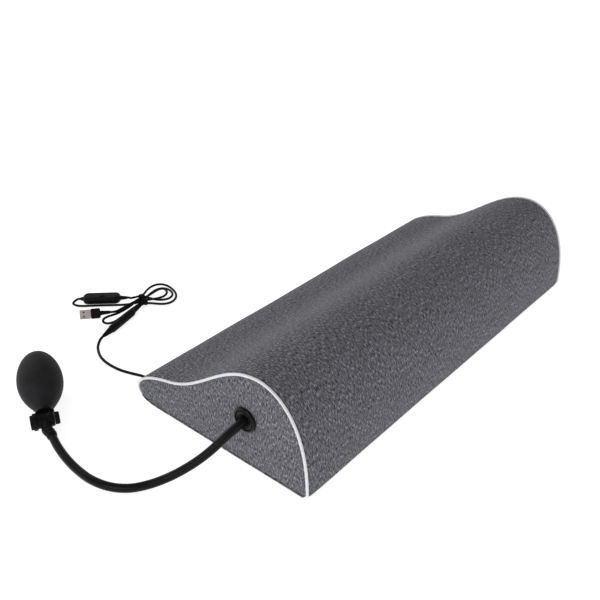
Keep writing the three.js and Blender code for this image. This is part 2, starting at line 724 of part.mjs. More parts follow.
function buildValve(pump) {
  const collarEnd = VALVE_CROSS_REACH + VALVE_COLLAR_LENGTH;
  const recessFloor = collarEnd - BUTTON_TRAVEL - 2 * GAP;
  const springSeat = 4;
  const flangeEnd = VALVE_AXIAL_REACH + VALVE_FLANGE_THICKNESS;
  const spigotEnd = flangeEnd + NECK_BORE_LENGTH - 1;
  const body = join(
    rod(-VALVE_AXIAL_REACH, VALVE_AXIAL_REACH, VALVE_AXIAL_RADIUS),
    rod(VALVE_AXIAL_REACH - GAP, flangeEnd, VALVE_FLANGE_RADIUS, 20),
    rod(flangeEnd - GAP, spigotEnd, NECK_BORE - GAP),
    crosswise(rod(-VALVE_CROSS_REACH, VALVE_CROSS_REACH, VALVE_CROSS_RADIUS)),
    crosswise(rod(VALVE_CROSS_REACH - GAP, collarEnd, VALVE_COLLAR_RADIUS, 20)));
  part('valve_body', cut(
    body,
    rod(-VALVE_AXIAL_REACH - GAP, spigotEnd + GAP, VALVE_AIRWAY, 8),
    crosswise(rod(-6, collarEnd, BUTTON_STEM + 2 * GAP, 12)),
    crosswise(rod(springSeat, collarEnd, SPRING_BORE)),
    crosswise(rod(recessFloor, collarEnd + GAP, BUTTON_RADIUS + GAP, 20))),
  blackPlastic, pump);
  const disc = collarEnd - 0.2;
  part('valve_button', crosswise(turned([
    [-2, 0], [-2, BUTTON_STEM - 0.6], [-1, BUTTON_STEM], [disc, BUTTON_STEM],
    [disc, BUTTON_RADIUS], [disc + BUTTON_THICKNESS - 0.6, BUTTON_RADIUS],
    [disc + BUTTON_THICKNESS, BUTTON_RADIUS - 0.6], [disc + BUTTON_THICKNESS, 0],
  ], 20)), blackPlastic, pump);
  const coilRadius = (BUTTON_STEM + SPRING_BORE) / 2;
  const coil = new Helix(
    coilRadius, springSeat + SPRING_WIRE + GAP, disc - SPRING_WIRE - GAP, SPRING_TURNS);
  part('valve_spring', sweep(coil, SPRING_WIRE, 4, 9 * SPRING_TURNS), steel, pump);
  const capStart = -VALVE_CROSS_REACH - GAP;
  part('valve_cap', crosswise(turned([
    [capStart, 0], [capStart, CAP_RADIUS], [capStart - CAP_LENGTH + 0.8, CAP_RADIUS],
    [capStart - CAP_LENGTH, CAP_RADIUS - 0.8], [capStart - CAP_LENGTH, 0],
  ], 20)), blackPlastic, pump);
}

function buildPump() {
  const hoseFrame = frameAt(-endX, crestY, 0);
  const inletFace = BLADDER_END_MARGIN - INLET_LENGTH - GAP;
  const onInlet = (x) => [x, GROMMET_OFFSET, grommetZ];
  const route = [onInlet(inletFace), onInlet(HOSE_STRAIGHT), ...HOSE_ROUTE];
  part('air_hose', tube(route, HOSE_RADIUS, 10, 40), rubber, hoseFrame);
  part('hose_cuff', tube(
    [...CUFF_ROUTE, behindValve(5), behindValve(0)], CUFF_RADIUS, 12, 6), rubber, hoseFrame);
  const pump = frameAt(...VALVE_PLACE, 0, hoseFrame);
  pump.rotation.set(0, -PUMP_LIFT, PUMP_TURN, 'ZYX');
  buildValve(pump);
  buildBulb(pump);
}

// A point on the pump's axis, so far short of the valve's hose end
function behindValve(distance) {
  const back = VALVE_AXIAL_REACH + GAP + distance;
  const level = back * Math.cos(PUMP_LIFT);
  return [
    VALVE_PLACE[0] - level * Math.cos(PUMP_TURN),
    VALVE_PLACE[1] - level * Math.sin(PUMP_TURN),
    VALVE_PLACE[2] - back * Math.sin(PUMP_LIFT),
  ];
}

// ---- low-voltage lead ----

// Points of the pigtail after the gland, measured from the exit's X, the nose and the floor
const PIGTAIL_ROUTE = [
  [0.4, 15.5, 5.4], [0.9, 21, 3.2], [0.6, 28, 2.1], [-3.5, 40, 1.9], [-7.6, 53.8, 1.9],
  [-9.3, 67.8, 1.9], [-9, 82, 1.9], [-6.3, 95.3, 1.9], [-1.3, 106.3, 1.9], [5.1, 116, 2.1],
  [11.5, 121.6, 3.4], [16.2, 123.9, 5],
];
const CONNECTOR_PLACE = [22.4, 125.8, 5.6];
const CONNECTOR_TURN = THREE.MathUtils.degToRad(16);

// The folded cord, as seen from above: its frame's X runs along the runs, and the tie is near 0
const HANK_PLACE = [109, 158, 0];
const HANK_TURN = THREE.MathUtils.degToRad(-11.5);
const TIE_CENTRE = 3;
const HANK_EDGE = [
  [-70, -14], [-66, -22], [-58, -26], [-48, -24], [-38, -19.2], [-24, -12.6], [-14, -9],
  [-8, -8.8], [-5.6, -13], [-3.6, -11.8], [-1.6, -7], [3, -6.4], [8, -8.5], [17, -21],
  [30, -28], [41, -24.5], [49, -14], [53, 1], [51.5, 19], [46, 28.5], [36, 29],
  [25, 25.5], [14, 15], [8, 7.6], [3, 6.4], [-3, 7.2], [-8, 5.6], [-16, 1.4],
  [-24, -2], [-36, -4], [-44, -4], [-46.4, -6.4], [-48.8, -10], [-54, -9.8],
  [-62, -9], [-68, -10.6],
];

const SWITCH_PLACE = [78.7, 203.3, 0];
const SWITCH_TURN = THREE.MathUtils.degToRad(-46.5);
const SWITCH_AXIS_HEIGHT = 5;
const RELIEF_LEFT = 4;
const RELIEF_RIGHT = 9;
const USB_PLACE = [41.5, 177, 8.2];
const USB_TURN = THREE.MathUtils.degToRad(141);
const USB_ROLL = THREE.MathUtils.degToRad(-60);

// In the switch's own frame: out of its left end, back beside it and on towards the tie
const RETURN_ROUTE = [
  [-31.6, 0, 4.9], [-34.8, -1.4, 4], [-37.3, -4.3, 2.8], [-38, -7.2, 2.1], [-37.1, -10.4, 1.8],
  [-34.2, -13, 1.8], [-30, -13.8, 1.8], [-12, -13.6, 1.8], [4, -13.4, 1.8],
];
const RETURN_END = [-15.2, 2.7, 3.4];
const SHORT_END = [-4.6, 7.6, 4.2];

function placed(point, place, turn) {
  const moved = new THREE.Vector3(...point).applyAxisAngle(new THREE.Vector3(0, 0, 1), turn);
  return moved.add(new THREE.Vector3(...place)).toArray();
}

function buildConnector(leadFrame) {
  const connector = frameAt(...CONNECTOR_PLACE, CONNECTOR_TURN, leadFrame);
  const r = CONNECTOR_RADIUS;
  const seat = JACK_LENGTH - JACK_BORE_DEPTH;
  part('dc_jack', turned([
    [0, 0], [0, PIGTAIL_RADIUS + 0.5], [15, r - 0.8], [17, r], [JACK_LENGTH, r],
    [JACK_LENGTH, JACK_BORE], [seat, JACK_BORE], [seat, 0],
  ], 16), blackPlastic, connector);
  part('dc_jack_pin', rod(seat + GAP, JACK_LENGTH - 1, JACK_PIN_RADIUS, 8), steel, connector);
  const face = JACK_LENGTH + GAP;
  part('dc_plug', turned([
    [face, 0], [face, r], [face + PLUG_LENGTH - 3, r], [face + PLUG_LENGTH, r - 1],
    [face + PLUG_LENGTH, CORD_RADIUS + 1.8],
    [face + PLUG_LENGTH + PLUG_RELIEF, CORD_RADIUS + 0.5],
    [face + PLUG_LENGTH + PLUG_RELIEF, 0],
  ], 16), blackPlastic, connector);
  const [b0, b1] = [face - GAP - BARREL_LENGTH, face - GAP];
  part('dc_plug_barrel', ring(
    [[b0, BARREL_RADIUS], [b1, BARREL_RADIUS]], [[b0, BARREL_BORE], [b1, BARREL_BORE]], 12),
  steel, connector);
}

function buildHank(leadFrame) {
  const hank = frameAt(...HANK_PLACE, HANK_TURN, leadFrame);
  const edge = HANK_EDGE.map(([u, v]) => new THREE.Vector3(u, v, 0));
  const loop = new THREE.CatmullRomCurve3(edge, true, 'centripetal');
  const outline = loop.getSpacedPoints(64).slice(1).map((p) => new THREE.Vector2(p.x, p.y));
  const geometry = new THREE.ExtrudeGeometry(new THREE.Shape(outline), {
    depth: HANK_THICKNESS, bevelEnabled: false,
  });
  part('usb_cord_hank', geometry.translate(0, 0, HANK_BOTTOM), cordJacket, hank);
  const [u0, u1] = [TIE_CENTRE - TIE_WIDTH / 2, TIE_CENTRE + TIE_WIDTH / 2];
  const half = WAIST_HALF_WIDTH + GAP;
  const [z0, z1] = [HANK_BOTTOM - GAP, HANK_BOTTOM + HANK_THICKNESS + GAP];
  const wall = TIE_THICKNESS;
  part('cord_tie', cut(
    box(u0, u1, -half - wall, half + wall, z0 - wall, z1 + wall),
    box(u0 - 1, u1 + 1, -half, half, z0, z1)), blackPlastic, hank);
}

function reliefSleeve(from, to) {
  return turned([
    [from, 0], [from, CORD_RADIUS + 1.6], [to, CORD_RADIUS + 0.5], [to, 0],
  ], 10).translate(0, 0, SWITCH_AXIS_HEIGHT);
}

function buildSwitch(leadFrame) {
  const housing = frameAt(...SWITCH_PLACE, SWITCH_TURN, leadFrame);
  const [l, w, t] = [SWITCH_LENGTH, SWITCH_WIDTH, SWITCH_WALL];
  const lidBottom = SWITCH_BASE_HEIGHT + GAP;
  const top = lidBottom + SWITCH_LID_HEIGHT;
  const hollow = (bottom, height) => roundedBlock(
    l - 2 * t, w - 2 * t, height, SWITCH_CORNER - t, bottom);
  const upright = (z0, z1, radius) => rod(z0, z1, radius).rotateY(-Math.PI / 2);
  part('controller_bottom', cut(
    roundedBlock(l, w, SWITCH_BASE_HEIGHT, SWITCH_CORNER, 0),
    hollow(t, SWITCH_BASE_HEIGHT)), blackPlastic, housing);
  part('controller_top', cut(
    roundedBlock(l, w, SWITCH_LID_HEIGHT, SWITCH_CORNER, lidBottom),
    hollow(lidBottom - t, SWITCH_LID_HEIGHT),
    upright(lidBottom, top + t, SWITCH_BUTTON_RADIUS + GAP)), blackPlastic, housing);
  const boardTop = SWITCH_BASE_HEIGHT - GAP;
  const boardLength = l - 2 * t - 2;
  part('controller_board', roundedBlock(
    boardLength, w - 2 * t - 2, t, 2, boardTop - t), board, housing);
  const flangeTop = top - t - GAP;
  part('controller_switch', box(
    -3, 3, -3, 3, boardTop + GAP, flangeTop - 1.5), blackPlastic, housing);
  part('controller_button', turned([
    [flangeTop - 0.6, 0], [flangeTop - 0.6, SWITCH_BUTTON_RADIUS + 1],
    [flangeTop, SWITCH_BUTTON_RADIUS + 1], [flangeTop, SWITCH_BUTTON_RADIUS],
    [top + 0.5, SWITCH_BUTTON_RADIUS], [top + 0.9, SWITCH_BUTTON_RADIUS - 0.8], [top + 0.9, 0],
  ]).rotateY(-Math.PI / 2), blackPlastic, housing);
  const end = l / 2 + GAP;
  part('controller_relief_left', reliefSleeve(-end, -end - RELIEF_LEFT), blackPlastic, housing);
  part('controller_relief_right', reliefSleeve(end, end + RELIEF_RIGHT), blackPlastic, housing);
}

function buildCords(leadFrame) {
  const onGland = (outward) => {
    const [, y, z] = glandPoint(GLAND_RELIEF + GAP + outward);
    return [0, y - noseY, z];
  };
  const onJack = (back) => placed([-GAP - back, 0, 0], CONNECTOR_PLACE, CONNECTOR_TURN);
  const pigtail = [onGland(0), onGland(2), ...PIGTAIL_ROUTE, onJack(2), onJack(0)];
  part('pigtail_cord', tube(pigtail, PIGTAIL_RADIUS, 8, 36), cordJacket, leadFrame);
  const onSwitch = (point) => placed(point, SWITCH_PLACE, SWITCH_TURN);
  const onHank = (point) => placed(point, HANK_PLACE, HANK_TURN);
  const left = SWITCH_LENGTH / 2 + 2 * GAP + RELIEF_LEFT;
  const right = SWITCH_LENGTH / 2 + 2 * GAP + RELIEF_RIGHT;
  part('usb_cord_return', tube(
    [onSwitch([-left, 0, SWITCH_AXIS_HEIGHT]), ...RETURN_ROUTE.map(onSwitch), onHank(RETURN_END)],
    CORD_RADIUS, 8, 24), cordJacket, leadFrame);
  part('usb_cord_short', tube(
    [onSwitch([right, 0, SWITCH_AXIS_HEIGHT]), onSwitch([right + 2, 0, SWITCH_AXIS_HEIGHT]),
      onHank(SHORT_END)],
    CORD_RADIUS, 8, 6), cordJacket, leadFrame);
}

function buildUsbPlug(leadFrame) {
  const plug = frameAt(...USB_PLACE, 0, leadFrame);
  plug.rotation.set(USB_ROLL, 0, USB_TURN, 'ZYX');
  const [w, h, t] = [USB_WIDTH / 2, USB_HEIGHT / 2, USB_WALL];
  const end = GAP + USB_LENGTH;
  const latch = (y) => box(end - 6.2, end - 4, y - 1.1, y + 1.1, h - 2 * t, h + t);
  part('usb_shell', cut(
    box(GAP, end, -w, w, -h, h), box(0, end + 1, -w + t, w - t, -h + t, h - t),
    latch(-2.9), latch(2.9)), steel, plug);
  part('usb_tongue', box(
    GAP, end - 1.5, -w + t + GAP, w - t - GAP, -h + t + GAP, -h + t + GAP + 1.8),
  blackPlastic, plug);
  const section = roundedRectangle(OVERMOLD_WIDTH, OVERMOLD_HEIGHT, 2.4);
  const grip = new THREE.ExtrudeGeometry(section, {
    depth: OVERMOLD_LENGTH, bevelEnabled: false, curveSegments: 3,
  }).applyMatrix4(ALONG_X).translate(-OVERMOLD_LENGTH, 0, 0);
  const relief = turned([
    [-OVERMOLD_LENGTH + 1, 0], [-OVERMOLD_LENGTH + 1, CORD_RADIUS + 1.6],
    [-OVERMOLD_LENGTH - OVERMOLD_RELIEF, CORD_RADIUS + 0.5],
    [-OVERMOLD_LENGTH - OVERMOLD_RELIEF, 0],
  ], 12);
  part('usb_overmold', join(grip, relief), blackPlastic, plug);
}

function buildLead() {
  const leadFrame = frameAt(exitX, noseY, 0);
  buildConnector(leadFrame);
  buildHank(leadFrame);
  buildSwitch(leadFrame);
  buildCords(leadFrame);
  buildUsbPlug(leadFrame);
}

buildCover();
buildZipper();
buildFoam();
buildInlet();
buildGrommet();
buildHeater();
buildPump();
buildLead();

export default cushion;
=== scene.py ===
"""Lumbar support cushion: a knitted foam wedge with a hand-pumped air bladder and a heating lead.

The classes work in millimetres in the shared frame, and meshes are made in metres.
"""

import logging
import math
from dataclasses import dataclass, field
from enum import Enum

import bmesh
import bpy
import numpy as np
from mathutils import Matrix


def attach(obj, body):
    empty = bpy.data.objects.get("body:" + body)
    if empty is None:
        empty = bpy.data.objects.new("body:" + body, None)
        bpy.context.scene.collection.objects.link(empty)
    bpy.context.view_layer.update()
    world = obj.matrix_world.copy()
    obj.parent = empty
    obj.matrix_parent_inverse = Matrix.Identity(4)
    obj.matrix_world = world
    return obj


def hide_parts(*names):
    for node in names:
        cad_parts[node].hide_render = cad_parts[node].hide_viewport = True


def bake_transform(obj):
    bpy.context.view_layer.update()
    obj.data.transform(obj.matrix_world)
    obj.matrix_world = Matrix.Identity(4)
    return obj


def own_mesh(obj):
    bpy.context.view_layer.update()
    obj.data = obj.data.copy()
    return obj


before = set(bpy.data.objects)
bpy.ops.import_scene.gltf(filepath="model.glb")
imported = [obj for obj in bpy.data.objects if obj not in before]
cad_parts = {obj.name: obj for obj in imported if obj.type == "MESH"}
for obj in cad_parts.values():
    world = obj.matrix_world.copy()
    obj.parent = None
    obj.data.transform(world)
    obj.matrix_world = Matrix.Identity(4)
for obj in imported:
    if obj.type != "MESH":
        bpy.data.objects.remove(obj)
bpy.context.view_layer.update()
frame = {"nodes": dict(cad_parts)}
log = logging.getLogger("lumbar_cushion")

MM = 0.001
TURN = 2 * math.pi
CLOTH_MAP = "Cloth"


class Body(Enum):
    """The rigid bodies of the frame that pieces ride on."""

    CUSHION = "cushion"
    CREST = "crest"
    VALVE_BUTTON = "valve_button"
    USB_CABLE = "usb_cable"
    SWITCH_BUTTON = "controller_button"


class Slot(Enum):
    """The record's material slots."""

    COVER = "cover_fabric"
    PIPING = "piping_fabric"
    FILM = "bladder_film"
    TEETH = "zipper_plastic"
    PLASTIC = "black_plastic"
    RUBBER = "black_rubber"
    CORD = "cord_jacket"
    METAL = "plated_metal"
    SPRING = "spring_steel"


class End(Enum):
    """The two ends of the cushion, by the sign of X."""

    LEFT = -1
    RIGHT = 1


# ---- finishes ----


def linear(hex_colour: str) -> tuple[float, float, float, float]:
    """Turn an sRGB hex colour into linear light.

    Args:
        hex_colour: Six hex digits, with or without a leading hash.

    Returns:
        Red, green, blue and an alpha of one.
    """
    digits = hex_colour.lstrip("#")
    channels = [int(digits[i : i + 2], 16) / 255 for i in (0, 2, 4)]
    red, green, blue = (c / 12.92 if c <= 0.04045 else ((c + 0.055) / 1.055) ** 2.4 for c in channels)
    return red, green, blue, 1.0


def add_node(tree: bpy.types.NodeTree, kind: str, inputs: dict | None = None, **settings: object) -> bpy.types.Node:
    """Add a node, set its properties, and set or link its inputs.

    Args:
        tree: The material's node tree.
        kind: The node's type.
        inputs: Input name or index to a value, or to the output socket that feeds it.
        settings: The node's own properties.

    Returns:
        The new node.
    """
    node = tree.nodes.new(kind)
    for name, setting in settings.items():
        setattr(node, name, setting)
    for key, value in (inputs or {}).items():
        if isinstance(value, bpy.types.NodeSocket):
            tree.links.new(value, node.inputs[key])
        else:
            node.inputs[key].default_value = value
    return node


@dataclass(frozen=True)
class Finish:
    """What a surface is made of, as one procedural material."""

    name: str

    def material(self) -> bpy.types.Material:
        """Make this finish's material, once.

        Returns:
            The material.
        """
        found = bpy.data.materials.get(self.name)
        if found is not None:
            return found
        material = bpy.data.materials.new(self.name)
        material.use_nodes = True
        material.node_tree.nodes.clear()
        shader = self.shader(material.node_tree)
        add_node(material.node_tree, "ShaderNodeOutputMaterial", {"Surface": shader.outputs[0]})
        return material

    def shader(self, tree: bpy.types.NodeTree) -> bpy.types.Node:
        """Build the surface shader; each kind of finish has its own."""
        raise NotImplementedError


@dataclass(frozen=True)
class MelangeKnit(Finish):
    """Knitted polyester from yarns of several greys: short streaks, a dull nap and a soft halo."""

    dark: str = "#37373c"
    middle: str = "#6a6a70"
    light: str = "#a2a2a9"
    streak_width_mm: float = 1.2
    streak_length_mm: float = 5.2
    loop_mm: float = 1.0  # coarser than the real 0.6 mm loops, so that they show
    relief_mm: float = 0.25

    def shader(self, tree: bpy.types.NodeTree) -> bpy.types.Node:
        """Mix three yarn greys by noise stretched along the knit, over a fine looped relief.

        Args:
            tree: The material's node tree.

        Returns:
            The surface shader's node.
        """
        cloth = add_node(tree, "ShaderNodeUVMap", uv_map=CLOTH_MAP)
        across, along = 1 / (self.streak_width_mm * MM), 1 / (self.streak_length_mm * MM)
        streaks = add_node(tree, "ShaderNodeMapping", {"Vector": cloth.outputs["UV"], "Scale": (across, along, 1)})
        yarn = add_node(
            tree, "ShaderNodeTexNoise", {"Vector": streaks.outputs[0], "Scale": 1.0, "Detail": 3.0, "Roughness": 0.62}
        )
        fleck_map = add_node(
            tree,
            "ShaderNodeMapping",
            {"Vector": cloth.outputs["UV"], "Scale": (across * 0.8, along * 1.3, 1), "Location": (7.3, 3.1, 0)},
        )
        fleck = add_node(
            tree, "ShaderNodeTexNoise", {"Vector": fleck_map.outputs[0], "Scale": 1.0, "Detail": 2.0, "Roughness": 0.55}
        )
        broad_map = add_node(tree, "ShaderNodeMapping", {"Vector": cloth.outputs["UV"], "Scale": (22, 22, 1)})
        broad = add_node(tree, "ShaderNodeTexNoise", {"Vector": broad_map.outputs[0], "Scale": 1.0, "Detail": 2.0})
        dark_share = add_node(
            tree,
            "ShaderNodeMapRange",
            {"Value": yarn.outputs[0], "From Min": 0.4, "From Max": 0.54},
            interpolation_type="SMOOTHSTEP",
        )
        light_share = add_node(
            tree,
            "ShaderNodeMapRange",
            {"Value": fleck.outputs[0], "From Min": 0.52, "From Max": 0.7, "To Max": 0.9},
            interpolation_type="SMOOTHSTEP",
        )
        base = add_node(
            tree,
            "ShaderNodeMix",
            {0: dark_share.outputs[0], 6: linear(self.dark), 7: linear(self.middle)},
            data_type="RGBA",
        )
        flecked = add_node(
            tree,
            "ShaderNodeMix",
            {0: light_share.outputs[0], 6: base.outputs[2], 7: linear(self.light)},
            data_type="RGBA",
        )
        patch = add_node(
            tree, "ShaderNodeMapRange", {
                "Value": broad.outputs[0], "From Min": 0.3, "From Max": 0.7, "To Min": 0.95, "To Max": 1.05
            }
        )
        colour = add_node(
            tree, "ShaderNodeVectorMath", {0: flecked.outputs[2], 1: patch.outputs[0]}, operation="MULTIPLY"
        )
        loops_map = add_node(
            tree,
            "ShaderNodeMapping",
            {"Vector": cloth.outputs["UV"], "Scale": (1 / (self.loop_mm * MM), 0.7 / (self.loop_mm * MM), 1)},
        )
        loops = add_node(
            tree,
            "ShaderNodeTexVoronoi",
            {"Vector": loops_map.outputs[0], "Scale": 1.0, "Randomness": 0.45},
            feature="SMOOTH_F1",
        )
        height = add_node(
            tree,
            "ShaderNodeMath",
            {0: loops.outputs["Distance"], 1: -0.6, 2: yarn.outputs[0]},
            operation="MULTIPLY_ADD",
        )
        relief = add_node(
            tree, "ShaderNodeBump", {"Height": height.outputs[0], "Distance": self.relief_mm * MM, "Strength": 0.55}
        )
        return add_node(
            tree,
            "ShaderNodeBsdfPrincipled",
            {
                "Base Color": colour.outputs[0],
                "Roughness": 0.92,
                "Normal": relief.outputs[0],
                "Specular IOR Level": 0.15,
                "Sheen Weight": 0.05,
                "Sheen Roughness": 0.45,
            },
        )


@dataclass(frozen=True)
class WovenTape(Finish):
    """Woven polyester tape: two sets of threads that pass over each other, with a faint satin."""

    colour: str = "#222225"
    shade: str = "#131315"
    thread_mm: float = 0.7
    roughness: float = 0.7
    relief_mm: float = 0.15

    def shader(self, tree: bpy.types.NodeTree) -> bpy.types.Node:
        """Two crossed waves of threads shade the colour and lift the surface.

        Args:
            tree: The material's node tree.

        Returns:
            The surface shader's node.
        """
        cloth = add_node(tree, "ShaderNodeTexCoord")
        threads = 1 / (self.thread_mm * MM)
        waves = [
            add_node(
                tree,
                "ShaderNodeTexWave",
                {"Vector": cloth.outputs["Object"], "Scale": threads / 20 * 3.14, "Distortion": 0.6, "Detail": 1.0},
                bands_direction=axis,
            )
            for axis in ("X", "Z")
        ]
        weave = add_node(
            tree, "ShaderNodeMath", {0: waves[0].outputs["Fac"], 1: waves[1].outputs["Fac"]}, operation="MULTIPLY"
        )
        fuzz_map = add_node(tree, "ShaderNodeMapping", {"Vector": cloth.outputs["Object"], "Scale": (600, 600, 600)})
        fuzz = add_node(tree, "ShaderNodeTexNoise", {"Vector": fuzz_map.outputs[0], "Scale": 1.0, "Detail": 3.0})
        tone = add_node(
            tree, "ShaderNodeMath", {0: weave.outputs[0], 1: 0.5, 2: fuzz.outputs[0]}, operation="MULTIPLY_ADD"
        )
        colour = add_node(
            tree, "ShaderNodeMix", {0: tone.outputs[0], 6: linear(self.shade), 7: linear(self.colour)}, data_type="RGBA"
        )
        relief = add_node(
            tree, "ShaderNodeBump", {"Height": tone.outputs[0], "Distance": self.relief_mm * MM, "Strength": 0.6}
        )
        return add_node(
            tree,
            "ShaderNodeBsdfPrincipled",
            {
                "Base Color": colour.outputs[2],
                "Roughness": self.roughness,
                "Normal": relief.outputs[0],
                "Specular IOR Level": 0.3,
                "Sheen Weight": 0.1,
            },
        )


@dataclass(frozen=True)
class Moulded(Finish):
    """Moulded or extruded plastic or rubber: one colour with handling marks and a fine mould grain."""

    colour: str = "#1b1b1d"
    worn: str = "#2b2b2e"
    roughness: float = 0.45
    roughness_spread: float = 0.12
    ior: float = 1.5
    grain_mm: float = 0.5
    relief_mm: float = 0.03
    specular: float = 0.1

    def shader(self, tree: bpy.types.NodeTree) -> bpy.types.Node:
        """Broad noise fades the colour and gloss a little, and fine noise is the mould's grain.

        Args:
            tree: The material's node tree.

        Returns:
            The surface shader's node.
        """
        place = add_node(tree, "ShaderNodeTexCoord")
        smear_map = add_node(tree, "ShaderNodeMapping", {"Vector": place.outputs["Object"], "Scale": (70, 70, 70)})
        smear = add_node(tree, "ShaderNodeTexNoise", {"Vector": smear_map.outputs[0], "Scale": 1.0, "Detail": 4.0})
        share = add_node(tree, "ShaderNodeMapRange", {"Value": smear.outputs[0], "From Min": 0.4, "From Max": 0.75})
        colour = add_node(
            tree, "ShaderNodeMix", {0: share.outputs[0], 6: linear(self.colour), 7: linear(self.worn)}, data_type="RGBA"
        )
        gloss = add_node(
            tree,
            "ShaderNodeMapRange",
            {
                "Value": smear.outputs[0],
                "From Min": 0.3,
                "From Max": 0.7,
                "To Min": self.roughness - self.roughness_spread / 2,
                "To Max": self.roughness + self.roughness_spread / 2,
            },
        )
        fine = 1 / (self.grain_mm * MM)
        grain_map = add_node(
            tree, "ShaderNodeMapping", {"Vector": place.outputs["Object"], "Scale": (fine, fine, fine)}
        )
        grain = add_node(tree, "ShaderNodeTexNoise", {"Vector": grain_map.outputs[0], "Scale": 1.0, "Detail": 2.0})
        relief = add_node(
            tree, "ShaderNodeBump", {"Height": grain.outputs[0], "Distance": self.relief_mm * MM, "Strength": 0.6}
        )
        return add_node(
            tree,
            "ShaderNodeBsdfPrincipled",
            {
                "Base Color": colour.outputs[2],
                "Roughness": gloss.outputs[0],
                "Normal": relief.outputs[0],
                "IOR": self.ior,
                "Specular IOR Level": self.specular,
            },
        )


@dataclass(frozen=True)
class PlatedMetal(Finish):
    """Pressed sheet or die-cast metal with a thin plating, rubbed duller here and there."""

    colour: str = "#b9b4b3"
    tarnish: str = "#8d8786"
    roughness: float = 0.3
    scratch_mm: float = 0.25

    def shader(self, tree: bpy.types.NodeTree) -> bpy.types.Node:
        """Long thin noise roughens the plating, and broad noise dulls its colour.

        Args:
            tree: The material's node tree.

        Returns:
            The surface shader's node.
        """
        place = add_node(tree, "ShaderNodeTexCoord")
        fine = 1 / (self.scratch_mm * MM)
        rub_map = add_node(
            tree, "ShaderNodeMapping", {"Vector": place.outputs["Object"], "Scale": (fine, fine / 8, fine)}
        )
        rub = add_node(tree, "ShaderNodeTexNoise", {"Vector": rub_map.outputs[0], "Scale": 1.0, "Detail": 2.0})
        dull_map = add_node(tree, "ShaderNodeMapping", {"Vector": place.outputs["Object"], "Scale": (260, 260, 260)})
        dull = add_node(tree, "ShaderNodeTexNoise", {"Vector": dull_map.outputs[0], "Scale": 1.0, "Detail": 3.0})
        gloss = add_node(
            tree,
            "ShaderNodeMapRange",
            {
                "Value": rub.outputs[0],
                "From Min": 0.3,
                "From Max": 0.7,
                "To Min": self.roughness,
                "To Max": self.roughness + 0.15,
            },
        )
        colour = add_node(
            tree,
            "ShaderNodeMix",
            {0: dull.outputs[0], 6: linear(self.colour), 7: linear(self.tarnish)},
            data_type="RGBA",
        )
        return add_node(
            tree,
            "ShaderNodeBsdfPrincipled",
            {"Base Color": colour.outputs[2], "Metallic": 1.0, "Roughness": gloss.outputs[0]},
        )


@dataclass(frozen=True)
class OpenCellFoam(Finish):
    """Slow-recovery polyurethane foam: a dull cream face full of small open cells."""

    colour: str = "#dcd7c6"
    # painted shade: the darker colour that fills the sunken cells
    pore_shade: str = "#b8b09a"
    cell_mm: float = 1.1

    def shader(self, tree: bpy.types.NodeTree) -> bpy.types.Node:
        """Painted shade darkens the colour towards each cell's sunken middle, where the cells sink into the face.

        Args:
            tree: The material's node tree.

        Returns:
            The surface shader's node.
        """
        place = add_node(tree, "ShaderNodeTexCoord")
        fine = 1 / (self.cell_mm * MM)
        cell_map = add_node(tree, "ShaderNodeMapping", {"Vector": place.outputs["Object"], "Scale": (fine, fine, fine)})
        cells = add_node(tree, "ShaderNodeTexVoronoi", {"Vector": cell_map.outputs[0], "Scale": 1.0})
        # painted shade: darker towards each cell's sunken middle
        colour = add_node(
            tree,
            "ShaderNodeMix",
            {0: cells.outputs["Distance"], 6: linear(self.pore_shade), 7: linear(self.colour)},
            data_type="RGBA",
        )
        relief = add_node(
            tree, "ShaderNodeBump", {"Height": cells.outputs["Distance"], "Distance": 0.4 * MM, "Strength": 0.7}
        )
        return add_node(
            tree,
            "ShaderNodeBsdfPrincipled",
            {
                "Base Color": colour.outputs[2],
                "Roughness": 0.95,
                "Normal": relief.outputs[0],
                "Specular IOR Level": 0.2,
            },
        )


# Polyester jersey in melange greys, circular knitted: dull, with short light and dark streaks
COVER_KNIT = MelangeKnit("Melange jersey")
# Cotton-covered piping cord, woven: near white, with a fine twill
PIPING_TWILL = WovenTape("Woven piping", colour="#eeeef0", shade="#cfcfd4", thread_mm=0.9, roughness=0.85)
# Polyester zipper tape, woven: charcoal
ZIP_TAPE = WovenTape("Woven zipper tape", colour="#2c2c30", shade="#17171a", thread_mm=0.6)
# Acetal zipper teeth, moulded: a low gloss
ZIP_TEETH = Moulded("Acetal teeth", colour="#17171a", worn="#28282b", roughness=0.4)
# Natural rubber bulb, dip moulded and dusted: matte, with one broad soft highlight
BULB_RUBBER = Moulded(
    "Natural rubber",
    colour="#202022",
    worn="#28282a",
    roughness=0.62,
    roughness_spread=0.08,
    grain_mm=0.7,
    relief_mm=0.02,
    specular=0.12,
)
# PVC hose and cord jackets, extruded: a soft sheen
HOSE_PVC = Moulded(
    "Extruded hose", colour="#09090a", worn="#101011", roughness=0.34, grain_mm=1.2, relief_mm=0.02, specular=0.14
)
CORD_PVC = Moulded(
    "Extruded cord jacket", colour="#08080a", worn="#0f0f10", roughness=0.36, grain_mm=1.5, relief_mm=0.008
)
# ABS housings and fittings, injection moulded against a fine spark-eroded mould
BLACK_ABS = Moulded("Moulded ABS", colour="#09090a", worn="#121214", roughness=0.36, grain_mm=0.45, relief_mm=0.03)
GROMMET_ABS = Moulded(
    "Moulded grommet", colour="#070708", worn="#0d0d0e", roughness=0.26, grain_mm=0.5, relief_mm=0.02, specular=0.16
)
# TPE strain reliefs and grips, overmoulded: duller than the jackets
SOFT_TPE = Moulded("Overmoulded TPE", colour="#09090a", worn="#111113", roughness=0.5, grain_mm=0.5, relief_mm=0.04)
# TPU bladder film, calendered: grey and waxy
BLADDER_FILM = Moulded("Bladder film", colour="#8d9299", worn="#a9adb3", roughness=0.38, grain_mm=4.0, relief_mm=0.25)
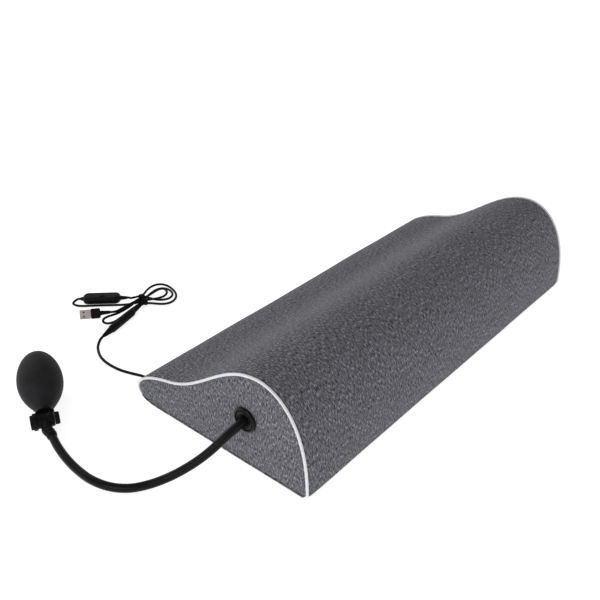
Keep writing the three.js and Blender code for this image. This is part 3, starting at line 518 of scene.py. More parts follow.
# Non-woven heater cloth, needle punched
HEATER_FELT = Moulded(
    "Heater felt", colour="#333337", worn="#4a4a4f", roughness=0.9, grain_mm=0.8, relief_mm=0.2, specular=0.2
)
# Glass-epoxy board with green solder mask
BOARD_EPOXY = Moulded("Solder mask", colour="#14522d", worn="#1c6a3c", roughness=0.3, grain_mm=1.5)
# Nickel-plated steel shells and pins, pressed and barrel plated
NICKEL = PlatedMetal("Nickel plate", colour="#c9c2c2", tarnish="#9a9292", roughness=0.32)
# Gold flash on the contacts
GOLD_FLASH = PlatedMetal("Gold flash", colour="#d8b46a", tarnish="#b8934c", roughness=0.25)
# Zinc zipper hardware, die-cast with gunmetal plating
GUNMETAL = PlatedMetal("Gunmetal plate", colour="#6f6f72", tarnish="#4c4c50", roughness=0.35)
# Spring wire, drawn and left bright
SPRING_WIRE = PlatedMetal("Drawn spring wire", colour="#a9a9ad", tarnish="#838388", roughness=0.3)
CREAM_FOAM = OpenCellFoam("Cream foam")


# ---- surfaces ----


@dataclass(frozen=True)
class Place:
    """A right-handed local frame: its origin in mm, and its axes as rows."""

    origin: tuple[float, float, float]
    axes: tuple[tuple[float, float, float], ...] = ((1, 0, 0), (0, 1, 0), (0, 0, 1))

    def world(self, points: np.ndarray) -> np.ndarray:
        """Carry local points, in the last axis of the array, into the shared frame."""
        return np.asarray(points, float) @ np.asarray(self.axes, float) + np.asarray(self.origin, float)

    def shifted(self, along: float, across: float = 0.0, up: float = 0.0) -> "Place":
        """The same frame moved along its own axes."""
        return Place(tuple(self.world(np.array([along, across, up]))), self.axes)

    @staticmethod
    def turned(origin: tuple[float, float, float], degrees: float) -> "Place":
        """A frame turned about Z."""
        c, s = math.cos(math.radians(degrees)), math.sin(math.radians(degrees))
        return Place(origin, ((c, s, 0), (-s, c, 0), (0, 0, 1)))


@dataclass
class Shell:
    """One grid surface in mm: rows by columns of points, with cloth coordinates in metres."""

    points: np.ndarray
    cloth: np.ndarray | None = None
    inside: np.ndarray | None = None

    def faces(self) -> np.ndarray:
        """Quads between neighbouring grid points, turned so that they face away from the inside.

        The sum of each face's corner, measured from an inner point, dotted with its normal is
        three times the volume; a negative sum means that the faces point in.

        Returns:
            Corner indices, one row for each quad.
        """
        rows, columns = self.points.shape[:2]
        index = np.arange(rows * columns).reshape(rows, columns)
        quads = np.stack([index[:-1, :-1], index[:-1, 1:], index[1:, 1:], index[1:, :-1]], axis=-1).reshape(-1, 4)
        flat = self.points.reshape(-1, 3)
        centre = flat.mean(axis=0) if self.inside is None else np.asarray(self.inside, float)
        a, b, c, d = (flat[quads[:, i]] - centre for i in range(4))
        volume = (a * np.cross(c - a, d - b)).sum()
        return quads if volume > 0 else quads[:, ::-1]


def make_piece(name: str, shells: list[Shell], finish: Finish) -> bpy.types.Object:
    """Turn grid surfaces into one mesh object in metres, welded at seams and poles.

    Args:
        name: The piece's name.
        shells: The surfaces that make it.
        finish: What it is made of.

    Returns:
        The new object, at the origin, unturned and unscaled.
    """
    points, faces, cloth, start = [], [], [], 0
    for shell in shells:
        quads = shell.faces()
        flat = shell.points.reshape(-1, 3) * MM
        uv = flat[:, :2] if shell.cloth is None else shell.cloth.reshape(-1, 2)
        points.append(flat)
        faces.append(quads + start)
        cloth.append(uv[quads.ravel()])
        start += len(flat)
    mesh = bpy.data.meshes.new(name)
    mesh.from_pydata(np.concatenate(points).tolist(), [], np.concatenate(faces).tolist())
    layer = mesh.uv_layers.new(name=CLOTH_MAP)
    layer.data.foreach_set("uv", np.concatenate(cloth).astype(np.float32).ravel())
    work = bmesh.new()
    work.from_mesh(mesh)
    bmesh.ops.remove_doubles(work, verts=work.verts, dist=2e-6)
    bmesh.ops.dissolve_degenerate(work, edges=work.edges, dist=1e-7)
    work.to_mesh(mesh)
    work.free()
    mesh.shade_smooth()
    mesh.materials.append(finish.material())
    piece = bpy.data.objects.new(name, mesh)
    bpy.context.scene.collection.objects.link(piece)
    return piece


def seat(
    piece: bpy.types.Object, body: Body, *nodes: str, stretch: tuple[float, float] | None = None
) -> bpy.types.Object:
    """Let a piece ride on a body, or, with stretch heights given, bake its place into its mesh; stand for the given
    nodes, and log it.

    Args:
        piece: The finished piece.
        body: What it rides on.
        nodes: The frame's nodes that it stands for.
        stretch: The heights in mm over which the cushion's hold would pass to the rising crest's; only whether they are
            given is used.

    Returns:
        The same piece.
    """
    if stretch is None:
        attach(piece, body.value)
    else:
        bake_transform(piece)
    if nodes:
        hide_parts(*nodes)
    log.info("%s: %d faces, on %s", piece.name, len(piece.data.polygons), body.value)
    return piece


def dress(node: str, finish: Finish) -> None:
    """Give a node that stays as it is its finish.

    Args:
        node: The node's name.
        finish: Its finish.
    """
    piece = frame["nodes"][node]
    if piece.material_slots:
        piece.material_slots[0].material = finish.material()
    else:
        piece.data.materials.append(finish.material())


def crease(piece: bpy.types.Object, degrees: float = 40.0) -> bpy.types.Object:
    """Mark edges sharper than an angle, so that flats stay flat under smooth shading."""
    piece.data.set_sharp_from_angle(angle=math.radians(degrees))
    return piece


def thicken(piece: bpy.types.Object, thickness: float) -> None:
    """Give a single sheet its real thickness, inwards from the outer face.

    Args:
        piece: The sheet.
        thickness: Its thickness in mm.
    """
    solid = piece.modifiers.new("thickness", "SOLIDIFY")
    solid.thickness = thickness * MM
    solid.offset = -1.0
    solid.use_even_offset = False


def smooth_route(points: np.ndarray, step: float) -> np.ndarray:
    """Carry a centripetal Catmull-Rom curve through points and space it evenly.

    Each span is a cubic whose end slopes come from the neighbouring points, weighted by the
    square roots of the chord lengths; the ends use a mirrored neighbour.

    Args:
        points: The points that the curve passes through.
        step: The distance between the points returned.

    Returns:
        Evenly spaced points on the curve.
    """
    p = np.asarray(points, float)
    p = np.vstack([2 * p[0] - p[1], p, 2 * p[-1] - p[-2]])
    dt = np.sqrt(np.linalg.norm(np.diff(p, axis=0), axis=1))[:, None]
    t = np.linspace(0, 1, 40, endpoint=False)[None, :, None]
    a, b, c, d = p[:-3], p[1:-2], p[2:-1], p[3:]
    d0, d1, d2 = dt[:-2], dt[1:-1], dt[2:]
    m1 = ((b - a) / d0 - (c - a) / (d0 + d1) + (c - b) / d1) * d1
    m2 = ((c - b) / d1 - (d - b) / (d1 + d2) + (d - c) / d2) * d1
    b, c, m1, m2 = (v[:, None, :] for v in (b, c, m1, m2))
    curve = b + m1 * t + (-3 * b + 3 * c - 2 * m1 - m2) * t**2 + (2 * b - 2 * c + m1 + m2) * t**3
    return spaced(np.vstack([curve.reshape(-1, 3), p[-2]]), step)


def cubic(t: np.ndarray, points: list) -> np.ndarray:
    """Points on a cubic curve: its four control points, weighted by the powers of t and 1 - t.

    Args:
        t: Column of places from 0 to 1.
        points: The four control points.

    Returns:
        The points, with their coordinates in the last axis.
    """
    a, b, c, d = (np.array(point) for point in points)
    return (1 - t) ** 3 * a + 3 * t * (1 - t) ** 2 * b + 3 * t**2 * (1 - t) * c + t**3 * d


def spaced(line: np.ndarray, step: float) -> np.ndarray:
    """Points about a step apart along a polyline, ends included.

    Args:
        line: The polyline.
        step: The distance between points.

    Returns:
        The new points.
    """
    run = np.concatenate([[0], np.cumsum(np.linalg.norm(np.diff(line, axis=0), axis=1))])
    at = np.linspace(0, run[-1], max(2, round(run[-1] / step) + 1))
    return np.stack([np.interp(at, run, line[:, k]) for k in range(3)], axis=1)


def run_length(line: np.ndarray) -> float:
    """Length of a polyline."""
    return float(np.linalg.norm(np.diff(line, axis=0), axis=1).sum())


def tube(
    line: np.ndarray, radius: float | np.ndarray, sides: int = 20, up: tuple = (0, 0, 1), closed_ends: bool = True
) -> Shell:
    """A round tube: a circle carried along a line, square to it.

    Args:
        line: Centreline points.
        radius: One radius, or one for each point.
        sides: Points round the circle.
        up: A direction that the line never runs along.
        closed_ends: Whether each end closes to a point on the axis.

    Returns:
        The tube's surface; its cloth map is length along and distance round.
    """
    along = np.gradient(line, axis=0)
    along /= np.linalg.norm(along, axis=1)[:, None]
    side = np.cross(along, np.asarray(up, float))
    side /= np.linalg.norm(side, axis=1)[:, None]
    rise = np.cross(side, along)
    radius = np.broadcast_to(np.asarray(radius, float), (len(line),))
    run = np.concatenate([[0], np.cumsum(np.linalg.norm(np.diff(line, axis=0), axis=1))])
    if closed_ends:
        line, side, rise = (np.concatenate([v[:1], v, v[-1:]]) for v in (line, side, rise))
        radius, run = np.concatenate([[0], radius, [0]]), np.concatenate([run[:1], run, run[-1:]])
    angle = np.linspace(0, TURN, sides + 1)
    ring = side[:, None, :] * np.cos(angle)[None, :, None] + rise[:, None, :] * np.sin(angle)[None, :, None]
    points = line[:, None, :] + ring * radius[:, None, None]
    points[:, -1] = points[:, 0]
    cloth = np.stack(np.broadcast_arrays(run[:, None], radius.max() * angle[None, :]), axis=-1) * MM
    return Shell(points, cloth, points[len(points) // 2].mean(axis=0) if closed_ends else None)


def turned(
    profile: list | np.ndarray,
    place: Place,
    segments: int = 48,
    flutes: int = 0,
    flute_depth: float = 0.0,
) -> Shell:
    """A profile of distance along X and radius, turned about the place's X axis.

    Args:
        profile: Rows of distance, radius and, where the surface is fluted, the share of the flutes.
        place: Where the axis lies.
        segments: Points round the axis.
        flutes: How many flutes go round.
        flute_depth: How deep a flute is, in mm.

    Returns:
        The surface of revolution.
    """
    rows = np.array([list(row) + [0.0] * (3 - len(row)) for row in profile], float)
    angle = np.linspace(0, TURN, segments + 1)
    radius = rows[:, 1:2] - rows[:, 2:3] * flute_depth * (0.5 - 0.5 * np.cos(flutes * angle))[None, :]
    x = np.broadcast_to(rows[:, :1], radius.shape)
    local = np.stack([x, radius * np.cos(angle), radius * np.sin(angle)], axis=-1)
    local[:, -1] = local[:, 0]
    run = np.concatenate([[0], np.cumsum(np.hypot(*np.diff(rows[:, :2], axis=0).T))])
    cloth = np.stack(np.broadcast_arrays(run[:, None], rows[:, 1].max() * angle[None, :]), axis=-1) * MM
    return Shell(place.world(local), cloth)


def rounded_profile(corners: list[tuple[float, float]], radius: float, steps: int = 4) -> list[tuple[float, float]]:
    """Round each inner corner of a profile with a short quadratic curve.

    Args:
        corners: Profile points.
        radius: How far from each corner the rounding starts, where the sides are long enough.
        steps: Points on each rounding.

    Returns:
        The rounded profile.
    """
    p = np.asarray(corners, float)
    out = [p[0]]
    t = np.linspace(0, 1, steps)[:, None]
    for before, corner, after in zip(p[:-2], p[1:-1], p[2:]):
        into, away = before - corner, after - corner
        reach = min(radius, 0.45 * np.linalg.norm(into), 0.45 * np.linalg.norm(away))
        start = corner + into / np.linalg.norm(into) * reach
        finish = corner + away / np.linalg.norm(away) * reach
        out.extend((1 - t) ** 2 * start + 2 * t * (1 - t) * corner + t**2 * finish)
    out.append(p[-1])
    return [tuple(row) for row in out]


def rounded_loop(length: float, width: float, corner: float, inset: float, count: int) -> np.ndarray:
    """A rounded rectangle, pulled in by an inset, as points that keep their place as it shrinks.

    Args:
        length: Size along X before the inset.
        width: Size along Y before the inset.
        corner: Corner radius before the inset.
        inset: How far every point moves in.
        count: Points in each quarter.

    Returns:
        The closed loop, its last point equal to its first.
    """
    r = max(corner - inset, 0.15)
    hx, hy = length / 2 - inset - r, width / 2 - inset - r
    hx, hy = max(hx, 0.0), max(hy, 0.0)
    quarter = np.linspace(0, TURN / 4, count)
    centres = [(hx, hy), (-hx, hy), (-hx, -hy), (hx, -hy)]
    arcs = [
        np.stack([cx + r * np.cos(quarter + k * TURN / 4), cy + r * np.sin(quarter + k * TURN / 4)], axis=1)
        for k, (cx, cy) in enumerate(centres)
    ]
    loop = np.concatenate(arcs)
    return np.vstack([loop, loop[:1]])


def block(
    place: Place, length: float, width: float, corner: float, levels: list[tuple[float, float]], crown: float = 0.0
) -> Shell:
    """A rounded block: loops of a rounded rectangle stacked from its foot to its top.

    Args:
        place: Its frame; X along it and Z up.
        length: Size along X.
        width: Size along Y.
        corner: Corner radius seen from above.
        levels: Rows of inset and height, from the foot's middle to the top's middle.
        crown: How far the top bulges at its middle.

    Returns:
        The closed surface.
    """
    rows = []
    deepest = min(length, width) / 2
    for inset, height in levels:
        loop = rounded_loop(length, width, corner, min(inset, deepest - 0.01), 9)
        swell = crown * max(0.0, min(1.0, inset / deepest)) if height == levels[-1][1] else 0.0
        rows.append(np.column_stack([loop, np.full(len(loop), height + swell)]))
    middle_low, middle_high = rows[0].mean(axis=0), rows[-1].mean(axis=0)
    rows = [np.tile(middle_low, (len(rows[0]), 1)), *rows, np.tile(middle_high, (len(rows[0]), 1))]
    return Shell(place.world(np.array(rows)), inside=place.world((middle_low + middle_high) / 2))


def soft_edges(bottom: float, top: float, foot: float, brow: float, steps: int = 6) -> list[tuple[float, float]]:
    """Inset and height levels with a quarter round at the foot and the brow.

    Args:
        bottom: Height of the underside.
        top: Height of the top face.
        foot: Radius of the lower edge.
        brow: Radius of the upper edge.
        steps: Points on each round.

    Returns:
        Levels for a block.
    """
    a = np.linspace(0, TURN / 4, steps)
    low = [(foot * (1 - math.sin(t)), bottom + foot * (1 - math.cos(t))) for t in a]
    high = [(brow * (1 - math.cos(t)), top - brow * (1 - math.sin(t))) for t in a]
    return [(1e3, bottom), *low, *high, (brow + 1.5, top), (brow + 3.5, top), (1e3, top)]


# ---- places shared by the sub-assemblies, in mm ----

CUSHION_LENGTH = 554.0
CREST_Y = -62.5
NOSE_Y = 125.0
LEAD = Place((-250.0, NOSE_Y, 0.0))
CONNECTOR = Place.turned((-227.6, 250.8, 5.6), 16.0)
HANK = Place.turned((-141.0, 283.0, 0.0), -11.5)
SWITCH = Place.turned((-171.3, 328.3, 0.0), -46.5)
USB = Place((-208.5, 302.0, 8.2), ((-0.77715, 0.62932, 0), (-0.31466, -0.38857, -0.86603), (-0.54501, -0.67303, 0.5)))
HOSE = Place((-277.0, CREST_Y, 0.0))
PUMP = Place(
    (-377.0, 153.8, 14.8), ((0.48403, 0.85204, 0.19937), (-0.86949, 0.49394, 0), (-0.09848, -0.17335, 0.97992))
)
GROMMET = Place((-277.0, -46.5, 60.0), ((-1, 0, 0), (0, -1, 0), (0, 0, 1)))


def nose_place(x: float) -> Place:
    """The frame on the nose at the zipper's height: X along, Y outwards, Z up the cloth."""
    return Place((x, 124.06649, 12.0), ((1, 0, 0), (0, 0.94562, -0.32527), (0, 0.32527, 0.94562)))


# ---- camera and room ----


@dataclass
class Studio:
    """A pale floor, soft light from the left and above, and the camera."""

    eye: tuple[float, float, float] = (-0.70163, -0.47715, 0.55639)
    heading: float = 0.70487  # from +X towards +Y
    dip: float = 0.53921
    roll: float = 0.00047
    lens_mm: float = 47.432
    floor_size: float = 14.0

    def place_camera(self) -> None:
        """Aim the camera: its -Z axis is the view direction, its Y axis is up in the view."""
        ch, sh, cd, sd = math.cos(self.heading), math.sin(self.heading), math.cos(self.dip), math.sin(self.dip)
        forward = np.array([ch * cd, sh * cd, -sd])
        right = np.array([sh, -ch, 0.0])
        up = np.cross(right, forward)
        cr, sr = math.cos(self.roll), math.sin(self.roll)
        right, up = cr * right + sr * up, cr * up - sr * right
        data = bpy.data.cameras.new("camera")
        data.lens = self.lens_mm
        data.sensor_width = 36.0
        data.clip_start, data.clip_end = 0.05, 60.0
        camera = bpy.data.objects.new("camera", data)
        matrix = Matrix.Identity(4)
        for row in range(3):
            matrix[row][:] = (right[row], up[row], -forward[row], self.eye[row])
        camera.matrix_world = matrix
        bpy.context.scene.collection.objects.link(camera)
        bpy.context.scene.camera = camera

    def light_room(self) -> None:
        """Make the floor, two soft lamps, and a surround that is white low down and dimmer above."""
        h = self.floor_size / 2
        mesh = bpy.data.meshes.new("floor")
        mesh.from_pydata([(-h, -h, 0), (h, -h, 0), (h, h, 0), (-h, h, 0)], [], [(0, 1, 2, 3)])
        floor = bpy.data.objects.new("floor", mesh)
        floor.location.z = -0.0004
        bpy.context.scene.collection.objects.link(floor)
        paper = bpy.data.materials.new("White paper")
        paper.use_nodes = True
        shader = paper.node_tree.nodes["Principled BSDF"]
        shader.inputs["Base Color"].default_value = (0.62, 0.62, 0.62, 1)
        shader.inputs["Roughness"].default_value = 1.0
        shader.inputs["Specular IOR Level"].default_value = 0.0
        shader.inputs["Emission Color"].default_value = (1, 1, 1, 1)
        shader.inputs["Emission Strength"].default_value = 0.8
        mesh.materials.append(paper)
        world = bpy.data.worlds.new("studio")
        bpy.context.scene.world = world
        world.use_nodes = True
        tree = world.node_tree
        tree.nodes.clear()
        toward = add_node(tree, "ShaderNodeTexCoord")
        height = add_node(tree, "ShaderNodeSeparateXYZ", {0: toward.outputs["Generated"]})
        strength = add_node(
            tree, "ShaderNodeMapRange", {
                "Value": height.outputs["Z"], "From Min": 0.22, "From Max": 0.45, "To Min": 1.0, "To Max": 0.36
            }
        )
        sky = add_node(tree, "ShaderNodeBackground", {"Color": (1, 1, 1, 1), "Strength": strength.outputs[0]})
        add_node(tree, "ShaderNodeOutputWorld", {"Surface": sky.outputs[0]})
        self.lamp("key", (-2.1, -0.1, 1.4), (0.0, 0.0, 0.05), 1.2, 12.5)
        self.lamp("back", (-0.3, 2.3, 1.5), (0.0, 0.05, 0.05), 1.4, 13.0)
        bpy.context.scene.view_settings.view_transform = "Standard"

    def lamp(self, name: str, place: tuple, target: tuple, size: float, power: float) -> None:
        """Add a square soft lamp that faces a target.

        Args:
            name: The lamp's name.
            place: Where it hangs, in metres.
            target: Where it points.
            size: Its side.
            power: Its power in watts.
        """
        data = bpy.data.lights.new(name, "AREA")
        data.shape = "SQUARE"
        data.size = size
        data.energy = power
        lamp = bpy.data.objects.new(name, data)
        away = np.array(place, float) - np.array(target, float)
        away /= np.linalg.norm(away)
        side = np.cross((0, 0, 1), away)
        side /= np.linalg.norm(side)
        up = np.cross(away, side)
        matrix = Matrix.Identity(4)
        for row in range(3):
            matrix[row][:] = (side[row], up[row], away[row], place[row])
        lamp.matrix_world = matrix
        bpy.context.scene.collection.objects.link(lamp)


# ---- hose and cords ----


@dataclass
class AirHose:
    """The hose from the bladder's inlet to the hand pump, which lies on the ground for most of its run."""

    radius: float = 4.5
    inlet: tuple[float, float, float] = (15.2, 16.0, 60.0)
    route: tuple = (
        (8, 16, 60), (0, 16.2, 59.6), (-8, 17.2, 57.6), (-17, 20, 53), (-27, 23, 46.8),
        (-38, 28, 38.3), (-48, 34.5, 29.8), (-59, 43.5, 20.6), (-71, 53.5, 12.6), (-86, 65, 7),
        (-101, 77.5, 4.9), (-112, 93.5, 4.7), (-118, 114.5, 4.7), (-118.6, 138, 5),
        (-116.5, 160, 6.4), (-113, 178, 8.4), (-109, 191.8, 10.2),
    )  # fmt: skip

    def build(self) -> tuple[bpy.types.Object, np.ndarray]:
        """Make the hose.

        Returns:
            The hose and its centreline in mm.
        """
        line = smooth_route(HOSE.world(np.array([self.inlet, *self.route])), 0.9)
        hose = make_piece("pump_hose", [tube(line, self.radius, 28)], HOSE_PVC)
        return seat(hose, Body.CUSHION, "air_hose"), line


@dataclass
class LeadCords:
    """The pigtail, and the two lengths of the USB cord with their folds in the hank."""

    pigtail_radius: float = 1.75
    cord_radius: float = 1.6
    pigtail_route: tuple = (
        (0.4, 15.5, 5.4), (0.9, 21, 3.2), (0.6, 28, 2.1), (-3.5, 40, 1.9), (-7.6, 53.8, 1.9),
        (-9.3, 67.8, 1.9), (-9, 82, 1.9), (-6.3, 95.3, 1.9), (-1.3, 106.3, 1.9), (5.1, 116, 2.1),
        (11.5, 121.6, 3.4), (16.2, 123.9, 5),
    )  # fmt: skip
    # In the hank's frame: out of the plug's boot, round the outer loop, down to the left loop,
    # back through the tie, round the second loop and up to the controller
    feed_folds: tuple = (
        (-3.4, -10.0, 5.0), (0.8, -8.2, 4.2), (5, -8.0, 3.5), (9.5, -11.2, 3.1), (14.5, -17.5, 3.0),
        (21, -24.0, 3.0), (29.7, -27.0, 3.0), (39.6, -23.2, 3.0), (47.6, -13.3, 3.0), (51.2, 1.1, 3.0),
        (50.6, 16.5, 3.2), (46.0, 26.2, 3.6), (36.8, 27.6, 4.4), (25.8, 23.2, 5.6), (14.5, 14.0, 7.0),
        (8, 7.4, 7.8), (3, 3.4, 7.9), (-3, 0.2, 7.7), (-10, -2.8, 7.2), (-20, -5.8, 5.8),
        (-32, -8.6, 4.9), (-42, -11.0, 5.4), (-51, -12.8, 7.0), (-60, -13.4, 8.0), (-66.4, -16.4, 7.2),
        (-67.0, -21.4, 5.8), (-62.8, -25.0, 4.4), (-55, -25.0, 3.3), (-46, -22.0, 3.0), (-36, -17, 3.0),
        (-24, -11.2, 3.0), (-12, -6.6, 3.2), (-4, -3.6, 3.8), (3, -0.6, 4.3), (9, 3.6, 4.0),
        (18, 10.0, 3.6), (28, 15.4, 3.2), (36.5, 17.8, 3.0), (43.2, 14.6, 3.2), (45.8, 4.0, 4.2),
        (43.6, -10.5, 6.0), (38, -18.8, 6.4), (31, -21.6, 6.4), (22, -18.0, 6.4), (14.5, -11.6, 6.8),
        (8.5, -5.2, 8.6), (3.2, 0.2, 10.8), (-1.2, 4.6, 10.2), (-5.4, 9.4, 7.6), (-8.6, 14.0, 5.8),
    )  # fmt: skip
    # On from the controller's left end: into the tie, round the small loop and out to the USB plug
    return_folds: tuple = (
        (-24.5, 10.2, 2.6), (-15.2, 2.9, 3.6), (-8.5, -1.6, 6.2), (-3, -3.6, 7.4), (3, -4.4, 7.6),
        (9, -5.2, 6.2), (16.1, -6.6, 4.8), (26.4, -7.9, 4.0), (34.4, -8.2, 4.2), (39.6, -4.2, 5.8),
        (41.4, 3.0, 7.0), (37.9, 10.2, 7.2), (28, 8.2, 7.0), (18, 4.6, 6.8), (9, 1.6, 7.0),
        (3, -0.6, 7.7), (-5, -3.6, 9.4), (-15, -5.6, 10.2), (-27, -8.4, 9.6), (-37, -9.6, 8.8),
        (-42.6, -9.0, 8.3), (-45.6, -7.6, 8.2),
    )  # fmt: skip
    return_bend: tuple = (
        (-31.6, 0, 4.9), (-34.8, -1.4, 4), (-37.3, -4.3, 2.8), (-38, -7.2, 2.1), (-37.1, -10.4, 1.8),
        (-34.2, -13, 1.8), (-30, -13.8, 1.8), (-12, -13.6, 1.8), (4, -13.4, 1.8),
    )  # fmt: skip
    settle_rounds: int = 220

    def pigtail_line(self) -> np.ndarray:
        """Centreline from inside the gland's boot to inside the socket's boot.

        Returns:
            Points along the pigtail.
        """
        gland = nose_place(-250.0).world(np.array([[0, 8.5, 0], [0, 10.3, 0], [0, 12.3, 0]]))
        jack = CONNECTOR.world(np.array([[-2.3, 0, 0], [-0.3, 0, 0], [2.5, 0, 0]]))
        return smooth_route(np.vstack([gland, LEAD.world(np.array(self.pigtail_route)), jack]), 0.8)

    def feed_line(self) -> np.ndarray:
        """Centreline from the DC plug's boot through the hank to the controller's right boot.

        Returns:
            Points along the feed cord.
        """
        boot = CONNECTOR.world(np.array([[75.5, 0, 0], [80.3, 0, 0]]))
        relief = SWITCH.world(np.array([[36.5, 0, 5], [31.5, 0, 5]]))
        return smooth_route(np.vstack([boot, HANK.world(np.array(self.feed_folds)), relief]), 1.2)

    def return_line(self) -> np.ndarray:
        """Centreline from the controller's left boot through the hank to the USB plug's boot.

        Returns:
            Points along the return cord.
        """
        relief = SWITCH.world(np.array([[-27.0, 0, 5], [-29.6, 0, 5], *self.return_bend]))
        boot = USB.world(np.array([[-25.3, 0, 0], [-20.5, 0, 0]]))
        return smooth_route(np.vstack([relief, HANK.world(np.array(self.return_folds)), boot]), 1.2)

    def settle(self, lines: list[np.ndarray], pinned: int = 14) -> list[np.ndarray]:
        """Push strands apart until a cord's width lies between them, and keep them smooth.

        In each round every point moves away from points of other strands, or of its own strand
        further along, that are nearer than a cord's width, then a little towards the mean of its
        neighbours, and never below the ground. Points near each end stay where they are.

        Args:
            lines: The strands' centrelines.
            pinned: How many points at each end stay.

        Returns:
            The settled centrelines.
        """
        points = np.vstack(lines)
        strand = np.repeat(np.arange(len(lines)), [len(v) for v in lines])
        order = np.concatenate([np.arange(len(v)) for v in lines])
        last = np.repeat([len(v) - 1 for v in lines], [len(v) for v in lines])
        free = (order >= pinned) & (last - order >= pinned)
        apart = (strand[:, None] != strand[None, :]) | (np.abs(order[:, None] - order[None, :]) > 9)
        width = 2.04 * self.cord_radius
        for _ in range(self.settle_rounds):
            gap = points[:, None, :] - points[None, :, :]
            distance = np.linalg.norm(gap, axis=2) + 1e-6
            push = np.where(apart & (distance < width), (width - distance) * 0.25, 0.0)
            shift = (gap / distance[:, :, None] * push[:, :, None]).sum(axis=1)
            step = np.linalg.norm(shift, axis=1)[:, None] + 1e-9
            points[free] += (shift * np.minimum(1.0, 0.4 / step))[free]
            middle = (np.roll(points, 1, axis=0) + np.roll(points, -1, axis=0)) / 2
            points[free] += 0.12 * (middle - points)[free]
            points[free, 2] = np.maximum(points[free, 2], self.cord_radius + 0.15)
        splits = np.cumsum([len(v) for v in lines])[:-1]
        return np.split(points, splits)

    def build(self) -> dict[str, tuple[bpy.types.Object, np.ndarray]]:
        """Make the three cords.

        Returns:
            Each cord's name to its piece and centreline.
        """
        feed, back = self.settle([self.feed_line(), self.return_line()])
        feed, back = smooth_route(feed[::2], 0.8), smooth_route(back[::2], 0.8)
        pigtail = self.pigtail_line()
        made = {
            "pigtail": (make_piece("pigtail", [tube(pigtail, self.pigtail_radius, 16)], CORD_PVC), pigtail),
            "feed": (make_piece("feed_cord", [tube(feed, self.cord_radius, 14)], CORD_PVC), feed),
            "return": (make_piece("return_cord", [tube(back, self.cord_radius, 14)], CORD_PVC), back),
        }
        seat(made["pigtail"][0], Body.CUSHION, "pigtail_cord")
        seat(made["feed"][0], Body.USB_CABLE, "usb_cord_hank", "usb_cord_short")
        seat(made["return"][0], Body.USB_CABLE, "usb_cord_return")
        return made


# ---- cushion ----


@dataclass
class Outline:
    """The cushion's cross-section: Y and Z in mm, from the front foot over the crest to the nose."""

    depth: float = 250.0
    crest_height: float = 115.0
    foot: float = 5.4
    shoulder: tuple[float, float] = (70.0, 49.5)
    slope_degrees: float = 13.0
    nose_height: float = 16.5
    nose_foot: float = 30.0
    curve: np.ndarray = field(init=False)
    run: np.ndarray = field(init=False)

    def __post_init__(self) -> None:
        """Work out the curve: a foot arc and four cubic Bezier curves, joined smoothly."""
        front = -self.depth / 2
        c, s = math.cos(math.radians(self.slope_degrees)), math.sin(math.radians(self.slope_degrees))
        sy, sz = self.shoulder
        crest = (CREST_Y, self.crest_height)
        angle = np.linspace(-TURN / 4, -TURN / 2, 12)
        arc = np.stack([front + self.foot + self.foot * np.cos(angle), self.foot + self.foot * np.sin(angle)], axis=1)
        spans = [
            ((front, self.foot), (front, self.crest_height - 20), (CREST_Y - 23, self.crest_height), crest),
            (crest, (CREST_Y + 49, self.crest_height), (sy - 53 * c, sz + 53 * s), (sy, sz)),
            ((sy, sz), (sy + 15 * c, sz - 15 * s), (NOSE_Y, self.nose_height + 19), (NOSE_Y, self.nose_height)),
            (
                (NOSE_Y, self.nose_height),
                (NOSE_Y, self.nose_height - 12.5),
                (NOSE_Y - self.nose_foot + 12.5, 0),
                (NOSE_Y - self.nose_foot, 0),
            ),
        ]
        t = np.linspace(0, 1, 160)[1:, None]
        curves = [cubic(t, span) for span in spans]
        home = np.array([[front + self.foot, 0.0]])
        self.curve = np.vstack([arc, *curves, home])
        self.run = np.concatenate([[0], np.cumsum(np.linalg.norm(np.diff(self.curve, axis=0), axis=1))])

    @property
    def top_end(self) -> float:
        """Distance along the outline to where the nose's curve meets the flat underside."""
        return float(self.run[-2])

    def at(self, station: np.ndarray, inset: float | np.ndarray = 0.0) -> np.ndarray:
        """Points at distances along the outline, moved in by an inset.

        Args:
            station: Distances along the outline.
            inset: How far inside the outline.

        Returns:
            Y and Z in the last axis.
        """
        place = np.stack([np.interp(station, self.run, self.curve[:, k]) for k in (0, 1)], axis=-1)
        ahead = np.stack([np.interp(station + 0.8, self.run, self.curve[:, k]) for k in (0, 1)], axis=-1)
        behind = np.stack([np.interp(station - 0.8, self.run, self.curve[:, k]) for k in (0, 1)], axis=-1)
        along = ahead - behind
        along /= np.linalg.norm(along, axis=-1)[..., None] + 1e-12
        inward = np.stack([along[..., 1], -along[..., 0]], axis=-1)
        return place + inward * np.asarray(inset)[..., None]

    def nose_station(self, height: float) -> float:
        """Distance along the outline to a height on the nose's side.

        Args:
            height: The height above the floor.

        Returns:
            The distance along the outline.
        """
        crest = int(np.argmax(self.curve[:, 1]))
        below = crest + int(np.argmax(self.curve[crest:, 1] < height))
        high, low = self.curve[below - 1, 1], self.curve[below, 1]
        share = (high - height) / (high - low)
        return float(self.run[below - 1] + share * (self.run[below] - self.run[below - 1]))


def between(values: np.ndarray, row: np.ndarray, column: np.ndarray) -> np.ndarray:
    """Read a grid of values between its points, by bilinear steps.

    Args:
        values: The grid.
        row: Places along its first axis, as fractional indices.
        column: Places along its second axis.

    Returns:
        The values there.
    """
    row = np.clip(row, 0, values.shape[0] - 1.001)
    column = np.clip(column, 0, values.shape[1] - 1.001)
    i, j = row.astype(int), column.astype(int)
    u, v = row - i, column - j
    near = values[i, j] * (1 - v) + values[i, j + 1] * v
    far = values[i + 1, j] * (1 - v) + values[i + 1, j + 1] * v
    return near * (1 - u) + far * u


